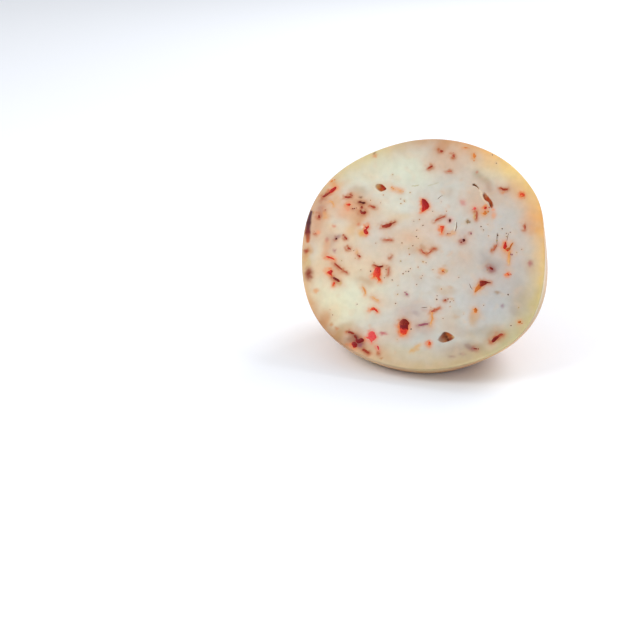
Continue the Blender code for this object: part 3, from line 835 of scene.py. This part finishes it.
# Thin streaks: strength, half width in mm and colour from one end to the other, path in mm
streaks = (
    # The skin of one large flake, that runs down at the rim on the left
    (1.0, (0.9, 1.7), ("#4a1830", "#4c0a14"), ((-72.0, 18.2), (-72.4, 15.0), (-72.5, 11.1))),
    (1.0, (1.7, 1.9), ("#4c0a14", "#740a08"), ((-72.5, 11.1), (-72.4, 7.4), (-72.1, 5.0))),
    (1.0, (1.9, 1.2), ("#740a08", "#c0602c"), ((-72.1, 5.0), (-71.8, 3.7), (-71.3, 1.2), (-71.1, -0.6))),
    # Seed skins
    (0.75, (0.3, 0.4), ("#b8ac78", "#b8ac78"), ((-11.7, 40.3), (-9.7, 40.6), (-7.7, 41.3))),
    (0.5, (0.3, 0.3), ("#b8ac78", "#c0b48c"), ((-1.5, 41.5), (4.1, 43.9))),
    # The curd stands up a little where it has torn open: painted highlights in cream along the raised edges
    # and the holes' lips, and one grey line along a tear
    (0.6, (0.4, 0.4), ("#f0dfc0", "#f0dfc0"), ((29.4, 41.5), (30.4, 40.3), (31.1, 39.6))),
    (0.6, (0.5, 0.4), ("#f4e2c0", "#f0c8a0"), ((30.3, 39.5), (31.2, 37.3), (32.9, 35.2), (34.7, 33.8))),
    (0.6, (0.35, 0.35), ("#f0e4d0", "#f0e4d0"), ((17.9, 20.4), (18.2, 17.6), (17.9, 15.0))),
    (0.6, (0.3, 0.3), ("#9a8c84", "#a8988c"), ((43.3, 16.1), (43.4, 13.6), (43.4, 11.2), (43.7, 9.3))),
    (0.6, (0.4, 0.4), ("#f0e4ca", "#ecdcc0"), ((-34.9, 38.0), (-33.8, 36.3), (-31.6, 34.9), (-29.6, 34.6))),
)

# The band under the rind, by its angle round the face: colour, width in mm, strength. Its colour is partly
# its own; at the top right (about 0 to 74 degrees) it is brighter, partly painted glow of light through the
# thin rim, and at 221 to 238 degrees darker, partly painted shade
rindBand = (
    (0, "#f0c880", 7, 0.95),
    (12, "#efbe7c", 7, 0.95),
    (22, "#f4b468", 7, 1.0),
    (36, "#f2c984", 8, 1.0),
    (50, "#fad588", 9, 1.0),
    (62, "#f3bf78", 9, 1.0),
    (74, "#e0a872", 7, 0.95),
    (90, "#c6956e", 5, 0.9),
    (104, "#cba67e", 7, 0.85),
    (122, "#d9c68c", 8, 0.85),
    (140, "#dbc58c", 8, 0.8),
    (155, "#cfac7c", 5, 0.8),
    (160, "#c9a078", 6, 0.9),
    (170, "#cf9870", 8, 0.95),
    (178, "#d6a478", 8, 0.95),
    (186, "#d4ac7c", 6, 0.9),
    (192, "#d3b480", 5, 0.85),
    (208, "#dcaa76", 6, 0.9),
    (221, "#be8658", 5.5, 0.95),
    (238, "#ac7c54", 5.5, 0.9),
    (250, "#d6bc92", 7, 0.9),
    (262, "#d0b48c", 8, 0.9),
    (275, "#ccb084", 8, 0.9),
    (300, "#c4ac80", 9, 0.9),
    (320, "#c3bb88", 9, 0.95),
    (342, "#d0bc80", 9, 0.95),
)
# The outside of the rind where it meets the cut, by the same angle; brighter at the top right and darker at
# 221 to 238 degrees, partly painted glow and shade as in the band
rindFlank = (
    (0, "#ecdcc8"), (12, "#eecca0"), (22, "#f4b468"), (50, "#fad588"), (74, "#e0a872"), (90, "#c6956e"),
    (122, "#d9c68c"), (155, "#cfac7c"), (180, "#d4a070"), (208, "#dcaa76"), (221, "#be8658"),
    (238, "#ac7c54"), (250, "#d0b690"), (270, "#c8b08c"), (280, "#cabc8c"), (290, "#cab890"),
    (300, "#c6b48a"), (310, "#ccc08e"), (320, "#d2c496"), (330, "#d4cca0"), (340, "#dcd6aa"),
    (350, "#e6dcc2"),
)
# The knife's edge catches the light at the lower right
rimLight = {"from": -78, "to": 8, "fade": 20, "colour": "#efe0ae", "width": 0.9, "strength": 0.4}

# Oil and pepper have coloured the paste round each flake: colour, reach in mm, strength
haloes = {
    "rose": ("#e6806a", 0.8, 0.6),
    "bright": ("#e68048", 1.0, 0.78),
    "dark": ("#bc6c42", 1.0, 0.75),
    "orange": ("#e0a06c", 0.9, 0.6),
    "mauve": ("#b89088", 0.8, 0.5),
}
wideHalo = {"reach": 2.5, "strength": 0.28, "colour": "#e0a880"}
speckHalo = {"radius": 1.0, "strength": 0.45, "colour": "#dcb89a"}
oilyPatches = {"colour": "#e0c0a0", "strength": 0.22, "size": 5.0, "seed": 16, "from": 0.1, "full": 0.6}
dapple = {"size": 3.0, "seed": 17, "strength": 0.04}
haloDrift = (-0.2, -0.25)
haloSearch = 8  # past this distance no halo shows
flakeRim = 0.3  # half the width of the line that stands for a flake's outline
# The holes' warm ochre is partly painted glow of light through the translucent paste
wallColour = "#b8764a"
# Colours inside the holes: across, up, radius in mm, colour
wallDabs = (
    (-32.8, 38.6, 2.0, "#dca662"), (-30.6, 37.2, 1.6, "#dc6634"), (-30.4, 39.2, 0.9, "#c4341c"),
    (-29.3, 38.3, 0.9, "#c4301a"), (-28.2, 37.4, 1.0, "#9a2418"), (-27.5, 36.9, 0.8, "#6e1c16"),
    (-30.0, 35.7, 0.9, "#b06c34"), (-31.9, 36.2, 0.9, "#b87436"), (18.4, -51.5, 2.2, "#b08c76"),
    (19.4, -48.7, 1.7, "#984824"), (22.5, -47.3, 1.1, "#d06c30"), (24.1, -47.8, 1.0, "#c46430"),
    (26.2, -48.3, 1.1, "#dcbc80"), (24.6, -49.8, 1.3, "#8c3014"), (23.5, -51.4, 0.8, "#4c1408"),
    (22.8, -50.3, 0.8, "#4c1408"), (21.7, -48.9, 0.8, "#4c1408"), (20.4, -47.2, 0.8, "#4c1408"),
    (31.9, 38.6, 1.0, "#8a3014"), (34.0, 38.8, 1.0, "#d09a68"), (34.6, 36.6, 1.8, "#c24612"),
    (36.8, 34.2, 1.6, "#ac4010"), (37.6, 32.6, 1.2, "#904018"), (38.2, 31.1, 0.9, "#ec6430"),
    (25.2, 44.6, 1.2, "#70401a"), (26.8, 43.8, 1.0, "#84501e"), (28.8, 42.3, 1.1, "#b4864a"),
    (14.3, 21.1, 1.5, "#7a1e16"), (25.0, 21.2, 1.5, "#b0906a"),
)
rindBase = "#dca777"
# Patches on the rind: colour, size in mm, seed, where they begin and are full, strength
rindPatches = (
    ("#efc687", 42, 21, (-0.1, 0.55), 0.8),
    ("#cf9a7e", 30, 22, (0.0, 0.6), 0.7),
    ("#a68a86", 36, 23, (0.1, 0.7), 0.6),
)
# Waves that carry the colours off their places: size in mm, seeds, and how far they carry each kind in mm
broadWave = {"size": 16.0, "seeds": (14, 15), "clouds": 4.5}
middleWave = {"size": 6.0, "seeds": (11, 12), "clouds": 1.8, "marks": 0.6, "band": 2, "streaks": 0.3}
fineWave = {"size": 1.8, "seed": 13, "marks": 0.8, "haloes": 0.8}
# How crisp the edge of each kind of colour is; 2 gives a soft bell
crispness = {"clouds": 2.6, "marks": 2.4, "band": 1.6, "haloes": 1.4, "streaks": 4}
# How far behind the cut, in mm, one finish gives way to the next
depths = {
    "holeWall": (0.15, 0.8),
    "skin": (0.2, 0.9),
    "rimWidth": 3,  # what lies this near the outline is rind and no hole
    "deepestHole": 6,  # and so is what lies deeper than this
    "bandFade": 7,
    "streakFade": (0.8, 4.0),
    "spots": (2, 9),
}


def blend(colours, amount, code):
    tint = np.array(linear(code)[:3])
    amount = np.clip(amount, 0, 1)[:, None]
    colours += (tint - colours) * amount


# How far a point is from a spot, in units of the spot's own size
def nearness(points, across, up, halfLength, halfWidth, turn):
    offset = points[:, :2] - (across, up)
    cos, sin = math.cos(math.radians(turn)), math.sin(math.radians(turn))
    along = (offset[:, 0] * cos + offset[:, 1] * sin) / halfLength
    aside = (offset[:, 1] * cos - offset[:, 0] * sin) / halfWidth
    return np.hypot(along, aside)


# How far each point is from the nearest stretch of a line, and how far along the line that is, from 0 to 1
def lineDistance(points, line):
    nearest = np.full(len(points), np.inf)
    along = np.zeros(len(points))
    for i, (start, end) in enumerate(zip(line[:-1], line[1:])):
        start, step = np.array(start), np.subtract(end, start)
        share = np.clip((points - start) @ step / max(step @ step, 1e-9), 0, 1)
        far = np.linalg.norm(points - start - share[:, None] * step, axis=1)
        along = np.where(far < nearest, (i + share) / (len(line) - 1), along)
        nearest = np.minimum(nearest, far)
    return nearest, along


# Every flake as a line and the half width round it
def chilliLines():
    for flake in flakes.values():
        yield flake["kind"], (*flake["outline"], flake["outline"][0]), flakeRim
    for kind in chips:
        for width, _, path in shreds.get(kind, ()):
            yield kind, path, width / 2
        for across, up, length, width, turn, _ in chips[kind]:
            half = max(length - width, 0) / 2
            step = np.array((math.cos(math.radians(turn)), math.sin(math.radians(turn)))) * half
            yield kind, ((across, up) - step, (across, up) + step), width / 2


# Values of named stops at each angle, from the angle's neighbours round the circle
def roundTheRim(angle, stops, values):
    values = np.array(values, dtype=float)
    columns = [np.interp(angle, [stop[0] for stop in stops], column, period=360) for column in values.T]
    return np.stack(columns, axis=1)


# The rows' own colours at each angle round the rim
def rimColour(angle, stops):
    return roundTheRim(angle, stops, [linear(stop[1])[:3] for stop in stops])


def twoWaves(points, wave):
    return np.stack([waves(points, wave["size"], seed) for seed in wave["seeds"]], axis=1)


# The cut's colours: curd, the band under the rind, what the chilli has stained, and some painted light,
# shade and highlights
def paintPaste(points, angle, inwards, middle):
    grain = waves(points, fineWave["size"], fineWave["seed"])
    uneven = 1 + fineWave["haloes"] * grain
    broad = twoWaves(points, broadWave)
    strayed = points[:, :2] + middle * middleWave["clouds"] + broad * broadWave["clouds"]
    fineDrift = np.stack([grain, -grain], axis=1) * fineWave["marks"]
    fine = points[:, :2] + middle * middleWave["marks"] + fineDrift

    face = np.tile(linear(pasteColour)[:3], (len(points), 1))
    for across, up, halfLength, halfWidth, turn, code, strength in clouds:
        far = nearness(strayed, across, up, halfLength, halfWidth, turn)
        blend(face, strength * np.exp(-far ** crispness["clouds"]), code)

    # The band under the rind, with its painted glow at the top right and painted shade at the lower left
    width, strength = roundTheRim(angle, rindBand, [stop[2:] for stop in rindBand]).T
    reach = np.maximum(inwards + middle[:, 0] * middleWave["band"], 0) / width
    amount = strength * np.exp(-reach ** crispness["band"])
    face += (rimColour(angle, rindBand) - face) * amount[:, None]
    face *= 1 + dapple["strength"] * waves(points, dapple["size"], dapple["seed"])[:, None]
    oily = waves(points, oilyPatches["size"], oilyPatches["seed"])
    oily = smooth(oilyPatches["from"], oilyPatches["full"], oily)
    blend(face, oilyPatches["strength"] * oily, oilyPatches["colour"])

    for kind, line, half in chilliLines():
        code, reach, strength = haloes[kind]
        line = np.array(line) + haloDrift
        low, high = line.min(axis=0) - haloSearch, line.max(axis=0) + haloSearch
        near = np.flatnonzero(((fine > low) & (fine < high)).all(axis=1))
        gap = np.maximum(lineDistance(fine[near], line)[0] - half, 0)
        tinted = face[near]
        blend(tinted, wideHalo["strength"] * np.exp(-gap / wideHalo["reach"]), wideHalo["colour"])
        blend(tinted, strength * uneven[near] * np.exp(-(gap / reach) ** crispness["haloes"]), code)
        face[near] = tinted
    for across, up, halfLength, halfWidth, turn, code, strength in deepFlakes:
        far = nearness(fine, across, up, halfLength, halfWidth, turn)
        blend(face, strength * np.exp(-far ** crispness["marks"]), code)
    for across, up in specks:
        far = nearness(fine, across, up, speckHalo["radius"], speckHalo["radius"], 0)
        blend(face, speckHalo["strength"] * np.exp(-far**2), speckHalo["colour"])
    return face


# Inside the holes the walls are ochre to orange-red, partly painted glow of light coming in through the
# translucent paste, with dark maroon dabs in places
def paintWalls(points):
    walls = np.tile(linear(wallColour)[:3], (len(points), 1))
    for across, up, radius, code in wallDabs:
        far = nearness(points, across, up, radius, radius, 0)
        blend(walls, np.exp(-far**2), code)
    return walls


def paintRind(points, angle, behind):
    rind = np.tile(linear(rindBase)[:3], (len(points), 1))
    for code, size, seed, (low, high), strength in rindPatches:
        blend(rind, smooth(low, high, waves(points, size, seed)) * strength, code)
    # Near the cut the rind keeps the colour of the band behind it
    nearCut = np.exp(-np.maximum(behind, 0) / depths["bandFade"])[:, None]
    rind += (rimColour(angle, rindFlank) - rind) * nearCut
    return rind


def paintCheese(ball):
    points = readPoints(ball)
    cutAt = ballForm["cutAt"]
    behind = cutAt - points[:, 2]
    middle = twoWaves(points, middleWave)
    angle = np.degrees(np.arctan2(points[:, 1], points[:, 0])) % 360
    section = math.sqrt(1 - (cutAt / ballForm["halfDepth"]) ** 2)
    rim = outlineRadius(np.radians(angle)) * section
    inwards = rim - np.hypot(points[:, 0], points[:, 1])

    onRind = (inwards < depths["rimWidth"]) | (behind > depths["deepestHole"])
    inHole = smooth(*depths["holeWall"], behind) * ~onRind
    face = paintPaste(points, angle, inwards, middle)
    face += (paintWalls(points) - face) * inHole[:, None]
    skin = smooth(*depths["skin"], behind) * onRind
    painted = face + (paintRind(points, angle, behind) - face) * skin[:, None]

    edge = np.hypot(np.maximum(inwards, 0), np.maximum(behind, 0))
    turn = (angle + 180) % 360 - 180
    lit = smooth(rimLight["from"], rimLight["from"] + rimLight["fade"], turn)
    lit *= 1 - smooth(rimLight["to"] - rimLight["fade"], rimLight["to"], turn)
    blend(painted, lit * np.exp(-(edge / rimLight["width"]) ** 2) * rimLight["strength"], rimLight["colour"])
    shown = 1 - smooth(*depths["streakFade"], behind)
    for strength, halfWidths, colours, path in streaks:
        gap, along = lineDistance(points[:, :2] + middle * middleWave["streaks"], path)
        halfWidth = halfWidths[0] + (halfWidths[1] - halfWidths[0]) * along
        start, end = (np.array(linear(code)[:3]) for code in colours)
        onStreak = strength * np.exp(-(gap / halfWidth) ** crispness["streaks"]) * shown
        painted += (start + (end - start) * along[:, None] - painted) * onStreak[:, None]

    paint = np.hstack([painted, np.ones((len(points), 1))]).astype(np.float32)
    ball.data.attributes.new("paint", "FLOAT_COLOR", "POINT").data.foreach_set("color", paint.ravel())
    rindShare = (skin * smooth(*depths["spots"], behind)).astype(np.float32)
    ball.data.attributes.new("rind", "FLOAT", "POINT").data.foreach_set("value", rindShare)


# Leans everything back and settles the rind on the floor
def layDown(ball, others):
    lean = Matrix.Rotation(math.radians(90 - ballForm["leanBack"]), 4, "X")
    place = Matrix.Translation(Vector(ballForm["middle"]) * mm) @ lean
    for piece in (ball, *others):
        piece.data.transform(place)
    points = readPoints(ball)
    blendHeight = ballForm["footRounding"]
    rise = np.clip(points[:, 2] / blendHeight + 0.5, 0, 1)
    points[:, 2] = np.where(rise < 1, blendHeight * rise**2 / 2, points[:, 2])
    writePoints(ball, points)
    return place


def finishMesh(obj, angle):
    bpy.ops.object.select_all(action="DESELECT")
    obj.select_set(True)
    bpy.context.view_layer.objects.active = obj
    bpy.ops.object.shade_smooth_by_angle(angle=math.radians(angle))
    bpy.ops.object.select_all(action="DESELECT")


creaseAngle = {"cheese": 40, "chilli": 50}

print("shaping the ball")
cheese = makeBall()
addRelief(cheese)
print("carving the holes")
carveHoles(cheese)
print("painting the paste and the rind")
paintCheese(cheese)
print("setting the chilli")
dice = random.Random(chilliSet["seed"])
chilli = {kind: makeChilli(kind, dice) for kind in chips}
speckPiece = makeSpecks(dice)
print("laying the half back")
ballPlace = layDown(cheese, [*chilli.values(), speckPiece])
finishMesh(cheese, creaseAngle["cheese"])
for piece in (*chilli.values(), speckPiece):
    finishMesh(piece, creaseAngle["chilli"])


def addNode(tree, kind, settings=None, links=None):
    node = tree.nodes.new(kind)
    for key, value in (settings or {}).items():
        if isinstance(key, int) or key in node.inputs:
            node.inputs[key].default_value = value
        else:
            setattr(node, key, value)
    for key, source in (links or {}).items():
        tree.links.new(source, node.inputs[key])
    return node


def newMaterial(name):
    material = bpy.data.materials.new(name)
    material.use_nodes = True
    tree = material.node_tree
    tree.nodes.clear()
    return material, tree


def setRamp(node, stops):
    ramp = node.color_ramp
    while len(ramp.elements) < len(stops):
        ramp.elements.new(0.5)
    for element, (position, code) in zip(ramp.elements, stops):
        element.position = position
        element.color = linear(code)


mixA, mixB, mixResult = 6, 7, 2  # the colour sockets of a Mix node

# Stretched-curd paste, cut by a knife: firm, moist and faintly translucent, with a satin face
# Its rind is the same curd, dried to a thin waxy skin, with chilli showing dimly through it
pasteFinish = {
    "mottleSize": 5.0,  # mm
    "grainSize": 0.9,
    "mottle": ("#f0f1ef", "#f8f8f7"),
    "spotSpacing": 12.0,  # mm
    "spotSize": (0.08, 0.3),  # as a share of the spacing
    "spotDrift": 5.0,  # mm
    "spotChance": 0.35,  # of the places this share has next to no spot
    "spotFade": (0.2, 1.3),  # as a share of the spot
    "spotStrength": 0.7,
    "spotColours": ((0.0, "#8c3a26"), (0.35, "#b0512c"), (0.6, "#7c5a5c"), (1.0, "#8f6660")),
    "roughness": 0.42,
    "glossSpread": (0.06, 0.08),
    "subsurface": 0.1,
    "subsurfaceReach": (0.0035, 0.002, 0.001),
    "grainHeight": 0.00004,
}


def pasteMaterial():
    material, tree = newMaterial("stretchedCurdPaste")
    place = addNode(tree, "ShaderNodeTexCoord").outputs["Object"]
    paint = addNode(tree, "ShaderNodeAttribute", {"attribute_name": "paint"}).outputs["Color"]
    onRind = addNode(tree, "ShaderNodeAttribute", {"attribute_name": "rind"}).outputs["Fac"]

    mottle = addNode(tree, "ShaderNodeTexNoise", {
        "Scale": 1 / (pasteFinish["mottleSize"] * mm), "Detail": 4.0, "Roughness": 0.6}, {"Vector": place})
    dark, light = pasteFinish["mottle"]
    mottleTone = addNode(tree, "ShaderNodeValToRGB", links={"Fac": mottle.outputs["Fac"]})
    setRamp(mottleTone, ((0.35, dark), (0.65, light)))
    mottled = addNode(tree, "ShaderNodeMix", {"data_type": "RGBA", "blend_type": "MULTIPLY", 0: 1.0},
                      {mixA: paint, mixB: mottleTone.outputs["Color"]})

    # Chilli under the rind: blurred spots, each with its own size and colour
    drift = addNode(tree, "ShaderNodeVectorMath", {
        "operation": "MULTIPLY_ADD", 1: [pasteFinish["spotDrift"] * mm] * 3},
        {0: mottle.outputs["Color"], 2: place})
    cells = addNode(tree, "ShaderNodeTexVoronoi", {"Scale": 1 / (pasteFinish["spotSpacing"] * mm)},
                    {"Vector": drift.outputs["Vector"]})
    chance = addNode(tree, "ShaderNodeSeparateColor", links={"Color": cells.outputs["Color"]})
    low, high = pasteFinish["spotSize"]
    reach = addNode(tree, "ShaderNodeMapRange", {
        "From Min": pasteFinish["spotChance"], "To Min": low * 0.2, "To Max": high},
        {"Value": chance.outputs["Red"]})
    edge = addNode(tree, "ShaderNodeMath", {"operation": "DIVIDE"},
                   {0: cells.outputs["Distance"], 1: reach.outputs["Result"]})
    near, far = pasteFinish["spotFade"]
    spot = addNode(tree, "ShaderNodeMapRange", {
        "interpolation_type": "SMOOTHSTEP", "From Min": near, "From Max": far,
        "To Min": pasteFinish["spotStrength"], "To Max": 0.0}, {"Value": edge.outputs["Value"]})
    spotShare = addNode(tree, "ShaderNodeMath", {"operation": "MULTIPLY"},
                        {0: spot.outputs["Result"], 1: onRind})
    spotColour = addNode(tree, "ShaderNodeValToRGB", links={"Fac": chance.outputs["Green"]})
    setRamp(spotColour, pasteFinish["spotColours"])
    spotted = addNode(tree, "ShaderNodeMix", {"data_type": "RGBA"}, {
        0: spotShare.outputs["Value"], mixA: mottled.outputs[mixResult], mixB: spotColour.outputs["Color"]})

    grain = addNode(tree, "ShaderNodeTexNoise", {
        "Scale": 1 / (pasteFinish["grainSize"] * mm), "Detail": 3.0, "Roughness": 0.55}, {"Vector": place})
    bump = addNode(tree, "ShaderNodeBump", {"Strength": 0.5, "Distance": pasteFinish["grainHeight"]},
                   {"Height": grain.outputs["Fac"]})
    smoother, rougher = pasteFinish["glossSpread"]
    gloss = addNode(tree, "ShaderNodeMapRange", {
        "To Min": pasteFinish["roughness"] - smoother, "To Max": pasteFinish["roughness"] + rougher},
        {"Value": mottle.outputs["Fac"]})
    shader = addNode(tree, "ShaderNodeBsdfPrincipled", {
        "IOR": 1.45, "Specular IOR Level": 0.28, "Subsurface Weight": pasteFinish["subsurface"],
        "Subsurface Radius": pasteFinish["subsurfaceReach"], "Subsurface Scale": 1.0}, {
        "Base Color": spotted.outputs[mixResult], "Roughness": gloss.outputs["Result"],
        "Normal": bump.outputs["Normal"]})
    addNode(tree, "ShaderNodeOutputMaterial", links={"Surface": shader.outputs["BSDF"]})
    return material


# Dried chilli, crushed to flakes and softened by the curd's fat: thin wrinkled skin, oily, red to orange
chilliTones = {
    "rose": ((0.0, "#8c2430"), (0.5, "#dc4448"), (1.0, "#e46c54")),
    "bright": ((0.0, "#700c10"), (0.25, "#9c1414"), (0.45, "#bc2016"), (0.6, "#d43420"), (0.75, "#de5a2c"),
               (0.85, "#e28850"), (1.0, "#e2a468")),
    "dark": ((0.0, "#3a0806"), (0.2, "#6a120a"), (0.35, "#8a2010"), (0.5, "#9e3a22"), (0.65, "#ae5238"),
             (0.8, "#c06c50"), (1.0, "#c49074")),
    "orange": ((0.0, "#9c4416"), (0.25, "#bc6626"), (0.5, "#d47c3a"), (0.75, "#d89c60"), (1.0, "#d8b484")),
    "mauve": ((0.0, "#5c2434"), (0.5, "#96505e"), (1.0, "#b87c84")),
}
speckTones = ((0.0, "#3e2a22"), (0.3, "#6b4a34"), (0.6, "#b0764c"), (1.0, "#a89a66"))
chilliRoughness = {"rose": 0.4, "bright": 0.38, "dark": 0.34, "orange": 0.48, "mauve": 0.45}
speckRoughness = 0.5
chilliWrinkles = {"size": 0.8, "height": 0.1, "tone": 0.22}  # the first two in mm


def chilliMaterial(name, tones, roughness):
    material, tree = newMaterial(name)
    place = addNode(tree, "ShaderNodeTexCoord").outputs["Object"]
    tone = addNode(tree, "ShaderNodeAttribute", {"attribute_name": "tone"}).outputs["Fac"]
    wrinkle = addNode(tree, "ShaderNodeTexNoise", {
        "Scale": 1 / (chilliWrinkles["size"] * mm), "Detail": 3.0}, {"Vector": place})
    spread = chilliWrinkles["tone"]
    shift = addNode(tree, "ShaderNodeMapRange", {"To Min": -spread, "To Max": spread},
                    {"Value": wrinkle.outputs["Fac"]})
    varied = addNode(tree, "ShaderNodeMath", {"operation": "ADD"}, {0: tone, 1: shift.outputs["Result"]})
    colour = addNode(tree, "ShaderNodeValToRGB", links={"Fac": varied.outputs["Value"]})
    setRamp(colour, tones)
    bump = addNode(tree, "ShaderNodeBump", {"Strength": 0.4, "Distance": chilliWrinkles["height"] * mm},
                   {"Height": wrinkle.outputs["Fac"]})
    shader = addNode(tree, "ShaderNodeBsdfPrincipled", {
        "IOR": 1.47, "Roughness": roughness, "Specular IOR Level": 0.2}, {
        "Base Color": colour.outputs["Color"], "Normal": bump.outputs["Normal"]})
    addNode(tree, "ShaderNodeOutputMaterial", links={"Surface": shader.outputs["BSDF"]})
    return material


def dress(piece, material):
    piece.data.materials.clear()
    piece.data.materials.append(material)


print("finishing the surfaces")
dress(cheese, pasteMaterial())
for kind, piece in chilli.items():
    dress(piece, chilliMaterial(kind + "ChilliSkin", chilliTones[kind], chilliRoughness[kind]))
dress(speckPiece, chilliMaterial("groundSeed", speckTones, speckRoughness))

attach(cheese, "root")
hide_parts("cheese_half")
for piece in (*chilli.values(), speckPiece):
    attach(piece, "root")

# A plain near-white floor, soft light from the upper left, and a weaker lamp from behind on the right
stage = {
    "floorSize": 30.0,
    "floorColour": "#eff3fa",
    "sky": 0.72,
    "lamps": {
        "key": {"place": (-0.5, -0.42, 0.62), "aim": (0, 0, 0.06), "size": 0.4, "power": 2.9,
                "colour": "#ffffff"},
        "back": {"place": (0.8, 1.3, 1.3), "aim": (0.1, 0.5, 0), "size": 1.2, "power": 26.0,
                 "colour": "#ffffff"},
    },
}


def makeStage():
    bpy.ops.mesh.primitive_plane_add(size=stage["floorSize"])
    floor = bpy.context.object
    floor.name = "floor"
    material, tree = newMaterial("paleTable")
    shader = addNode(tree, "ShaderNodeBsdfPrincipled", {
        "Base Color": linear(stage["floorColour"]), "Roughness": 0.6, "IOR": 1.3})
    addNode(tree, "ShaderNodeOutputMaterial", links={"Surface": shader.outputs["BSDF"]})
    floor.data.materials.append(material)
    for name, lamp in stage["lamps"].items():
        data = bpy.data.lights.new(name, "AREA")
        data.shape = "SQUARE"
        data.size = lamp["size"]
        data.energy = lamp["power"]
        data.color = linear(lamp["colour"])[:3]
        light = bpy.data.objects.new(name, data)
        light.location = lamp["place"]
        towards = Vector(lamp["aim"]) - Vector(lamp["place"])
        light.rotation_euler = towards.to_track_quat("-Z", "Y").to_euler()
        bpy.context.scene.collection.objects.link(light)
    world = bpy.data.worlds.new("softSky")
    world.use_nodes = True
    background = world.node_tree.nodes["Background"]
    background.inputs["Color"].default_value = (1.0, 1.0, 1.0, 1.0)
    background.inputs["Strength"].default_value = stage["sky"]
    bpy.context.scene.world = world


# The camera stands in front, 9 degrees to the right of the face's own direction, looking down 25.7 degrees
view = {
    "fromMiddle": (81.9, -509.3, 202.8),  # mm, from the ball's middle
    "pitch": 25.7,
    "yaw": 16.14,
    "sensorWidth": 36,  # mm
    "focalPixels": 900,
    "framePixels": 640,
}


def makeCamera():
    data = bpy.data.cameras.new("camera")
    data.sensor_width = view["sensorWidth"]
    data.lens = view["focalPixels"] / view["framePixels"] * data.sensor_width
    camera = bpy.data.objects.new("camera", data)
    camera.location = ballPlace.translation + Vector(view["fromMiddle"]) * mm
    camera.rotation_euler = (math.radians(90 - view["pitch"]), 0, math.radians(view["yaw"]))
    bpy.context.scene.collection.objects.link(camera)
    bpy.context.scene.camera = camera


print("setting the stage")
makeStage()
makeCamera()
bpy.context.scene.view_settings.view_transform = "Standard"
